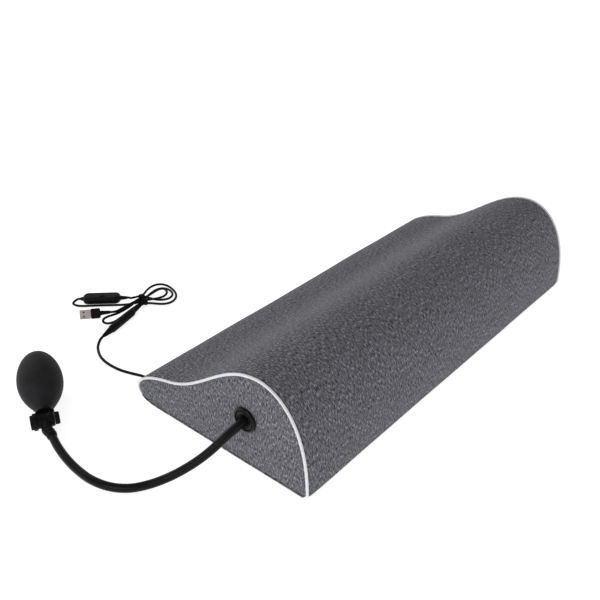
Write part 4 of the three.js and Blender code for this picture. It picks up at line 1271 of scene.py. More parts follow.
@dataclass
class ClothFit:
    """How the cover stands over its filling: a coarse closed copy is blown up against its seams.

    The lift it finds is kept on one grid for the cloth that runs along the cushion, and one for
    each end: rows from the rim to the eyelet. Columns go round the outline.
    """

    outline: Outline
    eyelet: tuple[float, float]
    reach: float = 275.0
    voxel: float = 6.0
    seam_width: float = 6.0
    seam_inset: float = 2.0
    pressure: float = 4.0
    last_frame: int = 20
    limit: float = 2.4
    columns: int = 56
    around: int = 120
    rings: int = 12
    skin: np.ndarray = field(init=False)
    ends: dict[End, np.ndarray] = field(init=False)

    def __post_init__(self) -> None:
        self.skin = np.zeros((self.columns, self.around + 1))
        self.ends = {end: np.zeros((self.rings + 1, self.around + 1)) for end in End}
        self.simulate()

    def grids(self) -> tuple[np.ndarray, dict[End, np.ndarray], np.ndarray]:
        """The coarse surfaces and the outward direction on the long one.

        Returns:
            The long surface, the ends' surfaces, and the direction out of the long one for each column.
        """
        station = np.linspace(0, self.outline.run[-1], self.around + 1)
        rim = self.outline.at(station, self.seam_inset)
        rim[-1] = rim[0]
        x = np.linspace(-self.reach, self.reach, self.columns)
        wide = (self.columns, self.around + 1)
        skin = np.concatenate(
            [np.broadcast_to(x[:, None], wide)[..., None], np.broadcast_to(rim, (*wide, 2))], axis=-1
        )
        share = np.linspace(0, 1, self.rings + 1)[:, None, None]
        flat = rim + share * (np.array(self.eyelet) - rim)
        ends = {e: np.concatenate([np.full((*flat.shape[:2], 1), e.value * self.reach), flat], axis=-1) for e in End}
        outward = self.outline.at(station, self.seam_inset - 1.0) - self.outline.at(station, self.seam_inset)
        return skin, ends, np.column_stack([np.zeros(len(station)), outward])

    def pinned(self, points: np.ndarray) -> np.ndarray:
        """Indices of points that the seams, the zipper or the ground hold.

        Args:
            points: The coarse copy's points.

        Returns:
            The indices of the points held.
        """
        rim = self.outline.at(np.linspace(0, self.outline.run[-1], 240), self.seam_inset)
        to_rim = np.linalg.norm(points[:, None, 1:] - rim[None], axis=2).min(axis=1)
        seam = (np.abs(points[:, 0]) > self.reach - self.seam_width) & (to_rim < self.seam_width)
        ground = points[:, 2] < 4.0
        zipped = (points[:, 1] > NOSE_Y - 16) & (points[:, 2] < 24)
        eyelet = (points[:, 0] < 5 - self.reach) & (np.linalg.norm(points[:, 1:] - self.eyelet, axis=1) < 16)
        return np.flatnonzero(seam | ground | zipped | eyelet)

    def simulate(self) -> None:
        """Remesh the closed copy evenly, pin it, run Cloth, and read the lift back onto the grids."""
        skin, ends, outward = self.grids()
        inside = np.array([0.0, -20.0, 30.0])
        shells = [Shell(grid, inside=inside) for grid in (skin, *ends.values())]
        form = make_piece("cloth_form", shells, COVER_KNIT)
        even = form.modifiers.new("even", "REMESH")
        even.mode, even.voxel_size = "VOXEL", self.voxel * MM
        graph = bpy.context.evaluated_depsgraph_get()
        mesh = bpy.data.meshes.new_from_object(form.evaluated_get(graph))
        form.modifiers.clear()
        form.data = mesh
        rest = self.corners(mesh) / MM
        form.vertex_groups.new(name="seams").add(self.pinned(rest).tolist(), 1.0, "REPLACE")
        cloth = form.modifiers.new("cloth", "CLOTH")
        cloth.settings.quality = 5
        cloth.settings.use_pressure = True
        cloth.settings.uniform_pressure_force = self.pressure
        cloth.settings.effector_weights.gravity = 0.0
        cloth.settings.vertex_group_mass = "seams"
        cloth.point_cache.frame_start, cloth.point_cache.frame_end = 1, self.last_frame
        for step in range(1, self.last_frame + 1):
            bpy.context.scene.frame_set(step)
        blown = self.corners(form.evaluated_get(bpy.context.evaluated_depsgraph_get()).data) / MM
        move = blown - rest
        size = np.linalg.norm(move, axis=1)[:, None]
        move *= self.limit / (self.limit + size)
        bpy.data.objects.remove(form)
        bpy.context.scene.frame_set(1)
        self.skin = (self.nearest(skin, rest, move) * outward).sum(axis=-1)
        self.ends = {e: self.nearest(grid, rest, move)[..., 0] * e.value for e, grid in ends.items()}
        log.info("cloth: %d points, largest move %.1f mm, lift up to %.2f mm", len(rest), size.max(), self.skin.max())

    def corners(self, mesh: bpy.types.Mesh) -> np.ndarray:
        """A mesh's vertices as an array.

        Args:
            mesh: The mesh.

        Returns:
            One row of X, Y and Z per vertex.
        """
        flat = np.empty(len(mesh.vertices) * 3)
        mesh.vertices.foreach_get("co", flat)
        return flat.reshape(-1, 3)

    def nearest(self, grid: np.ndarray, rest: np.ndarray, move: np.ndarray) -> np.ndarray:
        """Average the moves of the simulated points around each grid point, nearer ones for more.

        Args:
            grid: The grid's points.
            rest: The simulated points at rest.
            move: How far each moved.

        Returns:
            The move at each grid point.
        """
        rows = []
        for row in grid:
            weight = np.exp(-((rest[None] - row[:, None]) ** 2).sum(axis=-1) / (1.2 * self.voxel) ** 2) + 1e-12
            rows.append((weight[..., None] * move[None]).sum(axis=1) / weight.sum(axis=1)[:, None])
        return np.array(rows)

    def along(self, x: np.ndarray, station: np.ndarray) -> np.ndarray:
        """The lift of the long cloth."""
        row = (x / self.reach + 1) / 2 * (self.columns - 1)
        return between(self.skin, row, station / self.outline.run[-1] * self.around)

    def at_end(self, end: End, from_rim: np.ndarray, station: np.ndarray) -> np.ndarray:
        """The lift of an end's cloth."""
        return between(self.ends[end], from_rim * self.rings, station / self.outline.run[-1] * self.around)


@dataclass
class CushionCover:
    """The knitted cover: a main panel over the top, a base panel, two end panels and their piping."""

    outline: Outline = field(default_factory=Outline)
    length: float = CUSHION_LENGTH
    cloth: float = 1.6
    piping_radius: float = 1.5
    zipper_height: float = 12.0
    piping_inset: float = 1.5
    rim_inset: float = 2.7
    rim_floor: float = 1.4
    zipper_from: float = -236.0
    zipper_to: float = 244.0
    slot_half: float = 7.3
    seam_dip: float = 2.0
    pucker: float = 0.22
    stretch: tuple[float, float] = (30.0, 72.0)
    eyelet: tuple[float, float] = (-46.5, 60.0)
    eyelet_radius: float = 15.0
    fit: ClothFit = field(init=False)

    def __post_init__(self) -> None:
        """Find how the cloth stands."""
        self.fit = ClothFit(self.outline, self.eyelet)

    def seam_fall(self, distance: np.ndarray, width: float = 1.6) -> np.ndarray:
        """How far cloth falls in beside a seam: one at the seam, fading within a width or two."""
        return np.exp(-((np.maximum(distance, 0) / width) ** 1.3))

    def ripple(self, x: np.ndarray, station: np.ndarray) -> np.ndarray:
        """Slow unevenness of cloth over foam: a few long sine waves, a fraction of a mm high.

        Args:
            x: Places along the cushion.
            station: Distances along the outline.

        Returns:
            The height at each place.
        """
        return (
            0.22 * np.sin(x / 47 + 0.8 * np.sin(station / 61))
            + 0.16 * np.sin(station / 33 + 1.1 + x / 150)
            + 0.10 * np.sin(x / 19 + station / 27 + 2.0)
        )

    def panel(
        self,
        name: str,
        x: np.ndarray,
        station: np.ndarray,
        edges: tuple[float, float],
        node: str,
        stretch: tuple[float, float] | None,
    ) -> bpy.types.Object:
        """Make one panel that runs the length of the cushion.

        A point's height above the outline is the slow ripple, less a fall beside each seam and
        small puckers that fade away from the piping.

        Args:
            name: The piece's name.
            x: Grid of places along the cushion.
            station: Grid of distances along the outline.
            edges: The stations of its two long seams.
            node: The frame's node that it stands for.
            stretch: The heights over which it would stretch, if given; passed on to seat.

        Returns:
            The finished panel.
        """
        side = self.length / 2 - 4.3 - np.abs(x)
        long_seam = np.minimum(station - edges[0], edges[1] - station)
        fall = self.seam_fall(side) * self.seam_dip + self.seam_fall(long_seam, 1.2) * 1.0
        pucker = self.pucker * np.exp(-np.maximum(side, 0) / 9) * np.sin(station / 1.9 + 0.6 * np.sin(station / 11))
        flat = np.clip(self.outline.at(station)[..., 1] / 3, 0, 1)
        lift = (self.ripple(x, station) + pucker + self.fit.along(x, station)) * flat
        section = self.outline.at(station, fall - lift)
        points = np.concatenate([x[..., None], section], axis=-1)
        points[..., 2] = np.maximum(points[..., 2], 0.0)
        cloth = np.stack([x, station], axis=-1) * MM
        piece = make_piece(name, [Shell(points, cloth, np.array([0, -20.0, 30.0]))], COVER_KNIT)
        thicken(piece, self.cloth)
        seat(piece, Body.CUSHION, node, stretch=stretch)
        return piece

    def build_main(self) -> bpy.types.Object:
        """The main panel, from the front foot over the crest to the zipper.

        Returns:
            The finished panel.
        """
        zip_at = self.outline.nose_station(self.zipper_height)
        reach = self.length / 2 - 4.3
        edge = np.array([0.0, 0.5, 1.1, 1.8, 2.7, 4.0, 6.0])
        x = np.concatenate([-reach + edge, np.linspace(-reach + 9, reach - 9, 176), reach - edge[::-1]])
        inside = 1 / (1 + np.exp(-(x - self.zipper_from) / 0.4)) / (1 + np.exp((x - self.zipper_to) / 0.4))
        end = zip_at + self.slot_half - inside * (2 * self.slot_half - 0.8)
        share = np.concatenate([[0, 0.0015, 0.004], np.linspace(0.009, 0.991, 132), [0.996, 0.9985, 1]])
        station = 0.3 + share[None, :] * (end[:, None] - 0.3)
        grid_x = np.broadcast_to(x[:, None], station.shape)
        edges = (-20.0, zip_at + self.slot_half)
        return self.panel("main_cover", grid_x, station, edges, "cover_main_panel", self.stretch)

    def build_base(self) -> bpy.types.Object:
        """The base panel, from below the zipper round the nose and along the underside.

        Returns:
            The finished panel.
        """
        zip_at = self.outline.nose_station(self.zipper_height)
        start, end = zip_at + self.slot_half + 0.3, float(self.outline.run[-1])
        reach = self.length / 2
        x = np.linspace(-reach, reach, 150)
        under = np.linspace(0, 1, 60)
        bend = self.outline.top_end
        station = np.concatenate([start + (bend - start) * under[:-1] ** 1.1, np.linspace(bend, end, 60)])
        grid_x, grid_s = np.meshgrid(x, station, indexing="ij")
        return self.panel("base_cover", grid_x, grid_s, (start, end + 30.0), "cover_base_panel", None)

    def build_end(self, end: End) -> bpy.types.Object:
        """An end panel: rings from a centre out to the piping, crowned and pulled in at its rim.

        A ring point lies between the centre and the outline by the ring's share. It stands out
        by a soft crown that grows with its distance from the rim, up to a limit.

        Args:
            end: Which end.

        Returns:
            The finished panel.
        """
        station = np.concatenate(
            [
                np.linspace(0.3, self.outline.top_end, 300),
                np.linspace(self.outline.top_end, self.outline.run[-1], 110)[1:],
            ]
        )
        rim = self.outline.at(station, self.rim_inset)
        rim[:, 1] = np.maximum(rim[:, 1], self.rim_floor)
        rim = np.vstack([rim, rim[:1]])
        centre = np.array(self.eyelet)
        share = 1 - (1 - np.linspace(0, 1, 64)) ** 1.35
        flat = centre + share[:, None, None] * (rim[None, :, :] - centre)
        probe = rim[::2]
        distance = np.sqrt(((flat[:, :, None, :] - probe[None, None, :, :]) ** 2).sum(axis=-1)).min(axis=2)
        from_rim, around_at = np.broadcast_arrays(1 - share[:, None], np.append(station, station[0])[None, :])
        crown = (
            0.5 * (1 - np.exp(-distance / 16))
            + self.fit.at_end(end, from_rim, around_at)
            + 0.12 * np.sin(flat[..., 0] / 21) * np.sin(flat[..., 1] / 17)
        )
        stand = self.length / 2 - 0.6 + crown * np.clip(distance / 6, 0, 1) - 1.5 * self.seam_fall(distance, 1.5)
        if end is End.LEFT:  # drawn in under the grommet's flange
            stand = stand - 0.9 * np.exp(-((np.linalg.norm(flat - centre, axis=-1) / self.eyelet_radius) ** 4))
        around = np.arctan2(flat[..., 1] - centre[1], flat[..., 0] - centre[0])
        stand = stand + 0.10 * np.exp(-distance / 7) * np.sin(around * 150)
        points = np.concatenate([(end.value * stand)[..., None], flat], axis=-1)
        name = f"{end.name.lower()}_end_cover"
        shell = Shell(points, flat * MM, np.array([0.0, -20.0, 40.0]))
        piece = make_piece(name, [shell], COVER_KNIT)
        thicken(piece, self.cloth * 0.7)
        seat(piece, Body.CUSHION, f"end_panel_{end.name.lower()}", stretch=self.stretch)
        return piece

    def build_piping(self, end: End) -> bpy.types.Object:
        """A length of piping round one end, its two tails tucked into the base seam.

        Args:
            end: Which end.

        Returns:
            The piping.
        """
        station = np.linspace(3.0, self.outline.top_end - 9.0, 420)
        tail = np.minimum(station - station[0], station[-1] - station)
        section = self.outline.at(station, self.piping_inset + 1.2 * np.exp(-((tail / 3.5) ** 2)))
        section[:, 1] = np.maximum(section[:, 1], 2.05)
        x = np.full(len(station), end.value * (self.length / 2 - 2.0))
        line = np.column_stack([x, section])
        radius = self.piping_radius * (1 - 0.75 * np.exp(-((tail / 2.0) ** 2))) + 0.04 * np.sin(station / 1.3)
        shell = tube(line, radius, 18, up=(1, 0, 0))
        piece = make_piece(f"{end.name.lower()}_piping", [shell], PIPING_TWILL)
        return seat(piece, Body.CUSHION, f"piping_{end.name.lower()}", stretch=self.stretch)

    def build(self) -> None:
        """Make the whole cover."""
        self.build_main()
        self.build_base()
        for end in End:
            self.build_end(end)
            self.build_piping(end)


@dataclass
class Zipper:
    """A coil zipper along the nose: moulded teeth in two rows, with tapes, stops and a slider."""

    start: float = -232.7
    end: float = 240.7
    pitch: float = 2.0
    tooth_sink: float = 1.0

    def build_teeth(self) -> bpy.types.Object:
        """Repeat one rounded tooth, a squashed ring of points, along both rows.

        Returns:
            The teeth.
        """
        count = int((self.end - self.start) / self.pitch)
        angle = np.linspace(0, TURN, 9)
        rows = np.array([[-1.7, 0.0], [-1.7, 0.75], [-0.9, 0.95], [0.2, 0.8], [0.4, 0.0]])
        tooth = np.stack(
            [
                rows[:, 1:2] * np.cos(angle) * 0.62,
                rows[:, 1:2] * np.sin(angle) * 0.85,
                np.broadcast_to(rows[:, :1], (len(rows), len(angle))),
            ],
            axis=-1,
        )
        place = nose_place(0.0)
        shells = []
        for side in (1, -1):
            offset = 0.0 if side == 1 else self.pitch / 2
            x = self.start + 0.8 + offset + self.pitch * np.arange(count)
            for at in x:
                local = tooth.copy()
                local[..., 2] *= side
                local[..., 0] += at
                local[..., 1] -= self.tooth_sink
                shells.append(Shell(place.world(local)))
        return make_piece("zip_coil", shells, ZIP_TEETH)

    def build(self) -> None:
        """Make the teeth and dress the rest."""
        seat(self.build_teeth(), Body.CUSHION, "zipper_teeth")
        for node in ("zipper_tape_upper", "zipper_tape_lower"):
            dress(node, ZIP_TAPE)
        for node in ("zipper_stop_start", "zipper_stop_end", "zipper_slider", "zipper_pull"):
            dress(node, GUNMETAL)


@dataclass
class Filling:
    """What is inside the cover: foam, bladder, heating pad and its lead."""

    bladder_half: tuple[float, float] = (245.4, 59.4)
    bladder_middle: tuple[float, float] = (-42.0, 60.0)
    lead_radius: float = 1.5

    def build_bladder(self) -> bpy.types.Object:
        """A flat bag, welded round its edge: its thickness falls to a thin hem over the last few mm.

        Returns:
            The bladder.
        """
        hx, hy = self.bladder_half
        insets = np.array([0, 1.5, 3.5, 5.5, 8.0, 12.0, 18.0, 30.0, 45.0, hy - 0.5])
        thick = np.array([0.35, 0.35, 0.4, 2.4, 4.2, 5.2, 5.6, 5.7, 5.7, 5.7])
        rows = [(i, -t) for i, t in zip(insets[::-1], thick[::-1])] + [(i, t) for i, t in zip(insets, thick)]
        place = Place((0.0, self.bladder_middle[0], self.bladder_middle[1]))
        shell = block(place, 2 * hx, 2 * hy, 18.0, rows)
        return make_piece("lift_bladder", [shell], BLADDER_FILM)

    def build_lead(self) -> bpy.types.Object:
        """The heating lead inside the cover, from the pad down the ramp to the gland.

        Returns:
            The lead.
        """
        outline = Outline()
        top = outline.run[np.argmax((outline.curve[:, 0] > -2.5) & (outline.curve[:, 1] > 5))]
        foot = outline.run[np.argmax((outline.curve[:, 0] > 91.0) & (outline.curve[:, 1] > 5))]
        share = np.linspace(0, 1, 9)
        drift = np.clip((np.arange(9) - 2) / 6, 0, 1)
        drift = drift * drift * (3 - 2 * drift)
        ramp = outline.at(top + 0.3 + (foot - top) * share, 4.2)
        x = -180.0 + (-246.0 + 180.0) * drift
        gland = nose_place(-250.0).world(np.array([0, -5.3, 0]))
        tail = gland + np.array([[1, -20, 16], [0, -13, 6], [0, -6, 2], [0, 0, 0]])
        line = smooth_route(np.vstack([np.column_stack([x, ramp]), tail]), 2.0)
        return make_piece("heating_lead", [tube(line, self.lead_radius, 12)], CORD_PVC)

    def build(self) -> None:
        """Make the bladder and lead, and dress the foam, pad and fittings."""
        bladder = seat(self.build_bladder(), Body.CUSHION, "air_bladder", stretch=(54.5, 65.5))
        seat(self.build_lead(), Body.CUSHION, "heater_lead", stretch=(45.0, 68.0))
        for node in ("foam_base", "foam_crest"):
            dress(node, CREAM_FOAM)
        dress("heating_pad", HEATER_FELT)
        dress("thermostat", BLACK_ABS)
        dress("bladder_inlet", BLACK_ABS)
        dress("grommet_washer", GROMMET_ABS)


# ---- fittings on the hose ----


@dataclass
class HoseGrommet:
    """The ringed flange in the end panel, with a slit rubber sleeve round the hose."""

    petals: int = 8
    slit_depth: float = 1.1

    def build(self) -> None:
        """Make the flange and its sleeve."""
        rings = [
            (-6.0, 8.9), (0.3, 8.9), (0.3, 13.6), (0.7, 14.0), (1.6, 14.0), (2.3, 13.7), (2.9, 13.0), (3.2, 12.2),
            (3.2, 12.0), (2.7, 11.6), (1.7, 11.3), (1.3, 10.9), (1.7, 10.5), (2.8, 10.2), (3.1, 9.8), (3.0, 9.3),
            (2.1, 8.8), (1.5, 8.3), (1.9, 7.9), (1.9, 7.5), (1.2, 7.0), (-6.0, 7.0), (-6.0, 8.9),
        ]  # fmt: skip
        flange = make_piece("hose_grommet", [turned(rings, GROMMET, 96)], GROMMET_ABS)
        seat(flange, Body.CUSHION, "grommet_flange")
        angle = np.linspace(0, TURN, 16 * self.petals + 1)
        slit = np.abs(np.sin(angle * self.petals / 2)) ** 0.35
        rows = np.array(
            [[2.3, 7.3], [2.2, 6.7], [2.0, 6.1], [1.7, 5.6], [1.4, 5.1], [1.0, 4.6], [0.6, 4.6], [0.6, 7.3]]
        )
        radius = np.broadcast_to(rows[:, 1:2], (len(rows), len(angle)))
        depth = rows[:, :1] - self.slit_depth * (1 - slit)[None, :] * np.array([0, 0.6, 1, 1, 0.8, 0.4, 0, 0])[:, None]
        local = np.stack([depth, radius * np.cos(angle), radius * np.sin(angle)], axis=-1)
        local = np.concatenate([local, local[:1]])
        sleeve = make_piece("grommet_sleeve", [Shell(GROMMET.world(local))], SOFT_TPE)
        seat(sleeve, Body.CUSHION)


@dataclass
class HandPump:
    """The rubber bulb with its release valve, and the cuff that grips the hose."""

    bulb_length: float = 86.4
    bulb_radius: float = 25.0
    bulb_widest: float = 45.0
    bulb_wall: float = 2.2
    spring_seat: float = 6.2
    button_under: float = 12.8
    press: float = 2.5

    def bulb_profile(self, inset: float) -> np.ndarray:
        """The bulb's half-section: two cubic curves that meet at its widest point.

        Args:
            inset: How far inside the rubber's outer face.

        Returns:
            Rows of distance and radius.
        """
        r, w, l = self.bulb_radius - inset, self.bulb_widest, self.bulb_length
        t = np.linspace(0, 1, 34)[:, None]
        neck = [(0, 8.2 - inset), (10, 11.5 - inset), (22, r), (w, r)]
        tip = [(w, r), (w + 20 - inset / 2, r), (l - 3 - inset, r * 0.64), (l - inset, 5.0)]
        curves = [cubic(t, points) for points in (neck, tip)]
        return np.vstack([curves[0], curves[1][1:]])

    def build_bulb(self) -> bpy.types.Object:
        """Turn the bulb, with a beaded neck and the mould's faint parting line down each side.

        Returns:
            The bulb.
        """
        place = PUMP.shifted(12.3)
        outer = self.bulb_profile(0.0)
        inner = self.bulb_profile(self.bulb_wall)
        inner = inner[inner[:, 0] > 9.5]
        outer[:3, 1] += 0.4
        rows = np.vstack(
            [[[0.0, 5.0]], [[0.0, 8.0]], outer, [[self.bulb_length, 4.9]], inner[::-1], [[9.0, 5.0]], [[0.0, 5.0]]]
        )
        angle = np.linspace(0, TURN, 129)
        ridge = 0.10 * (np.exp(-(((angle - TURN / 4) / 0.03) ** 2)) + np.exp(-(((angle - 3 * TURN / 4) / 0.03) ** 2)))
        outside = np.zeros(len(rows))
        outside[4 : len(outer)] = 1.0
        radius = rows[:, 1:2] + outside[:, None] * ridge[None, :]
        x = np.broadcast_to(rows[:, :1], radius.shape)
        local = np.stack([x, radius * np.cos(angle), radius * np.sin(angle)], axis=-1)
        local[:, -1] = local[:, 0]
        return make_piece("rubber_bulb", [Shell(place.world(local))], BULB_RUBBER)

    def across(self) -> Place:
        """The valve's cross axis as a frame whose X runs along it."""
        x, y, z = PUMP.axes
        return Place(PUMP.origin, (y, tuple(-v for v in x), z))

    def build_valve(self) -> bpy.types.Object:
        """The valve's barrels and collars, each turned about its own axis.

        Returns:
            The valve's body.
        """
        along = rounded_profile([(-9.0, 0), (-9.0, 6.0), (9.2, 6.0), (9.2, 0)], 0.5)
        flange = rounded_profile(
            [(8.7, 0), (8.7, 9.6), (9.4, 10.0), (12.0, 10.0), (12.0, 4.7), (20.0, 4.7), (20.0, 0)], 0.5
        )
        seat_at, stem = self.spring_seat, 2.5
        cross = [
            (-9.0, 0), (-9.0, 7.4), (-8.0, 8.0), (-3.2, 8.0), (-2.8, 7.6), (2.8, 7.6), (3.2, 8.0), (8.9, 8.0),
            (8.9, 9.4), (13.0, 9.4), (13.0, 8.4), (9.9, 8.4), (9.9, 5.2), (seat_at, 5.2), (seat_at, stem),
            (-6.0, stem), (-6.0, 0),
        ]  # fmt: skip
        shells = [
            turned(along, PUMP, 48),
            turned(flange, PUMP, 64),
            turned(rounded_profile(cross, 0.4), self.across(), 64),
        ]
        return crease(make_piece("release_valve", shells, BLACK_ABS))

    def build_button(self) -> bpy.types.Object:
        """The release button: a dished disc with a fluted edge.

        Returns:
            The button.
        """
        profile = [
            (-2.0, 0.0), (-2.0, 1.6), (-1.0, 2.2), (10.6, 2.2), (12.8, 2.2), (12.8, 7.6), (13.1, 7.9, 1),
            (15.2, 7.9, 1), (15.7, 7.5, 1), (15.8, 6.8), (15.5, 5.6), (15.3, 3.0), (15.3, 0.0),
        ]  # fmt: skip
        shell = turned(profile, self.across(), 120, 30, 0.35)
        return crease(make_piece("release_button", [shell], BLACK_ABS), 50)

    def build_spring(self) -> bpy.types.Object:
        """The spring under the button: a helix with closed ends, made at its resting length.

        Returns:
            The spring.
        """
        turns, radius, wire = 4.0, 3.7, 0.45
        low, high = self.spring_seat + wire + 0.05, self.button_under - wire - 0.1
        angle = np.linspace(0, (turns + 1.5) * TURN, 260)
        share = np.clip((angle / TURN - 0.75) / turns, 0, 1)
        helix = np.stack([low + (high - low) * share, radius * np.cos(angle), radius * np.sin(angle)], axis=1)
        line = self.across().world(helix)
        spring = make_piece("button_spring", [tube(line, wire, 8, up=self.across().axes[0])], SPRING_WIRE)
        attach(spring, Body.CUSHION.value)
        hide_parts("valve_spring")
        anchor = self.across().world(np.array([self.spring_seat, 0, 0])) * MM
        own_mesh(spring)
        return spring

    def build_cap(self) -> bpy.types.Object:
        """The cap that holds the valve's seat: a knurled edge and a coin slot's worth of dish.

        Returns:
            The cap.
        """
        profile = [
            (-9.3, 0.0), (-9.3, 6.5), (-9.7, 6.8, 1), (-13.3, 6.8, 1), (-14.0, 6.3), (-14.3, 5.6), (-14.2, 4.2),
            (-13.6, 3.8), (-13.6, 0.0),
        ]  # fmt: skip
        shell = turned(profile, self.across(), 112, 28, 0.4)
        return crease(make_piece("valve_end_cap", [shell], BLACK_ABS), 50)

    def build_cuff(self) -> bpy.types.Object:
        """The moulded cuff over the hose: a tube along the hose's last bend, ribbed near the valve.

        Returns:
            The cuff.
        """
        route = np.vstack(
            [
                HOSE.world(np.array([(-108.9, 192.1, 10.25), (-107.2, 198, 11.2)])),
                PUMP.world(np.array([(-14.3, 0, 0), (-9.3, 0, 0), (-7.5, 0, 0)])),
            ]
        )
        line = smooth_route(route, 0.35)
        run = np.linspace(0, run_length(line), len(line))
        radius = (
            5.8
            - 0.9 * np.exp(-run / 2.2)
            - 0.32 * np.clip(np.sin(run / 2.4 * TURN / 2), 0, 1) ** 2 * (run > 4) * (run < 20)
        )
        return make_piece("hose_grip_cuff", [tube(line, radius, 32)], BLACK_ABS)

    def build(self) -> list[bpy.types.Object]:
        """Make the pump.

        Returns:
            The pieces that hang on the hose.
        """
        pieces = [
            seat(self.build_cuff(), Body.CUSHION, "hose_cuff"),
            seat(self.build_valve(), Body.CUSHION, "valve_body"),
            seat(self.build_cap(), Body.CUSHION, "valve_cap"),
            seat(self.build_bulb(), Body.CUSHION, "pump_bulb"),
        ]
        pieces += [seat(self.build_button(), Body.VALVE_BUTTON, "valve_button"), self.build_spring()]
        dress("bulb_intake_plug", BLACK_ABS)
        dress("intake_disc", BULB_RUBBER)
        return pieces + [frame["nodes"]["bulb_intake_plug"], frame["nodes"]["intake_disc"]]


# ---- fittings on the lead ----


@dataclass
class LeadFittings:
    """The gland, the two-part connector, the controller, the USB plug and the tie."""

    connector_radius: float = 5.2
    switch_size: tuple[float, float, float] = (50.0, 18.0, 7.6)

    def ribbed(
        self,
        start: float,
        end: float,
        from_radius: float,
        to_radius: float,
        pitch: float,
        depth: float,
    ) -> list:
        """A tapering run of rounded ribs: the radius falls evenly, less a groove at each pitch.

        Args:
            start: Where the run starts along the axis.
            end: Where it ends.
            from_radius: Radius at the start.
            to_radius: Radius at the end.
            pitch: Distance between grooves.
            depth: Depth of a groove.

        Returns:
            Profile rows of distance and radius.
        """
        x = np.linspace(start, end, max(8, int(abs(end - start) / pitch * 8)))
        share = (x - start) / (end - start)
        groove = np.clip(np.cos(TURN * (x - start) / pitch), 0, 1) ** 2
        return [
            tuple(row) for row in np.column_stack(
                [x, from_radius + (to_radius - from_radius) * share - depth * groove]
            )
        ]

    def build_gland(self) -> bpy.types.Object:
        """The rubber gland where the lead leaves the cover: a flange and a ribbed boot.

        Returns:
            The gland.
        """
        x, y, z = nose_place(-250.0).axes
        place = Place(nose_place(-250.0).origin, (y, tuple(-v for v in x), z))
        profile = [(-5, 0), (-5, 2.8), (0.3, 2.9), (0.3, 4.7), (0.6, 5.0), (1.3, 4.9), (1.8, 4.4), (2.0, 3.6)]
        profile += self.ribbed(2.2, 9.9, 3.5, 2.35, 1.5, 0.35) + [(10.0, 2.1), (10.0, 0)]
        return make_piece("lead_gland", [turned(profile, place, 48)], SOFT_TPE)

    def build_socket(self) -> bpy.types.Object:
        """The pigtail's socket: a long ribbed taper that swells to the mating face.

        Returns:
            The socket.
        """
        grip = self.connector_radius
        profile = [(0, 0), (0, 2.2)] + self.ribbed(0.3, 14.8, 2.4, 4.4, 2.0, 0.35)
        profile += [(15.6, 4.6), (17.0, 5.1)] + self.ribbed(17.4, 29.0, grip, grip, 1.5, 0.22)
        profile += [(30, 5.2), (31.7, 5.2), (32.0, 4.9), (32.0, 3.1), (20.2, 3.1), (20.0, 0)]
        return make_piece("lead_socket", [turned(profile, CONNECTOR, 56)], SOFT_TPE)

    def build_plug(self) -> bpy.types.Object:
        """The cord's plug: a ribbed grip and a long boot, cut into segments.

        Returns:
            The plug.
        """
        grip = self.connector_radius
        profile = [(32.3, 0), (32.3, 4.9), (32.6, grip), (34.0, grip)]
        profile += self.ribbed(34.4, 58.0, grip, grip, 1.6, 0.25)
        profile += [(59.5, 5.2), (61.5, 4.9), (63.6, 4.1), (64.2, 3.5)]
        profile += self.ribbed(64.6, 79.6, 3.4, 2.15, 1.9, 0.35) + [(80.3, 2.0), (80.3, 0)]
        return make_piece("cord_plug", [turned(profile, CONNECTOR, 56)], SOFT_TPE)

    def build_tie(self) -> bpy.types.Object:
        """A flat strap round the bundle: a thin rounded section carried round an oval, with its tail.

        Returns:
            The strap.
        """
        angle = np.linspace(0, TURN, 73)
        bulge = 1 - 0.10 * np.cos(2 * angle) ** 2
        spine = np.stack([np.full_like(angle, 3.0), 7.7 * np.cos(angle) * bulge, 6.75 + 6.1 * np.sin(angle)], axis=1)
        outward = np.stack([np.zeros_like(angle), np.cos(angle), np.sin(angle)], axis=1)
        turn = np.linspace(0, TURN, 17)
        across, thick = 2.3 * np.sign(np.cos(turn)) * np.abs(np.cos(turn)) ** 0.4, 0.45 * np.sin(turn)
        local = (
            spine[:, None, :]
            + across[None, :, None] * np.array([1.0, 0, 0])
            + (thick + 0.45)[None, :, None] * outward[:, None, :]
        )
        band = Shell(HANK.world(local), inside=None)
        head = block(HANK.shifted(3.0, -8.6, 4.2), 5.4, 3.0, 1.2, soft_edges(-2.6, 2.6, 0.7, 0.7, 4))
        return make_piece("cord_strap", [band, head], BLACK_ABS)

    def build_controller(self) -> tuple[bpy.types.Object, bpy.types.Object]:
        """The controller's two halves: rounded blocks that leave a fine parting gap, and a framed well.

        Returns:
            The base and the lid.
        """
        base = block(SWITCH, *self.switch_size, soft_edges(0.05, 4.85, 2.6, 0.35))
        lid = block(SWITCH, *self.switch_size, soft_edges(5.25, 10.0, 0.35, 2.9))
        collar = turned(
            [(9.4, 3.75), (10.25, 3.9), (10.5, 4.2), (10.5, 4.9), (10.2, 5.3), (9.4, 5.5), (9.4, 3.75)],
            Place(SWITCH.origin, ((0, 0, 1), SWITCH.axes[0], SWITCH.axes[1])),
            48,
        )
        bottom = make_piece("controller_base", [base], BLACK_ABS)
        top = make_piece("controller_lid", [lid, collar], BLACK_ABS)
        return bottom, top

    def build_switch_button(self) -> bpy.types.Object:
        """The push button: a shallow dish with a raised rim.

        Returns:
            The push button.
        """
        upright = Place(SWITCH.origin, ((0, 0, 1), SWITCH.axes[0], SWITCH.axes[1]))
        profile = [(8.0, 0), (8.0, 3.5), (10.5, 3.5), (10.8, 3.2), (10.9, 2.8), (10.7, 2.2), (10.6, 0)]
        return make_piece("controller_push", [turned(profile, upright, 40)], SOFT_TPE)

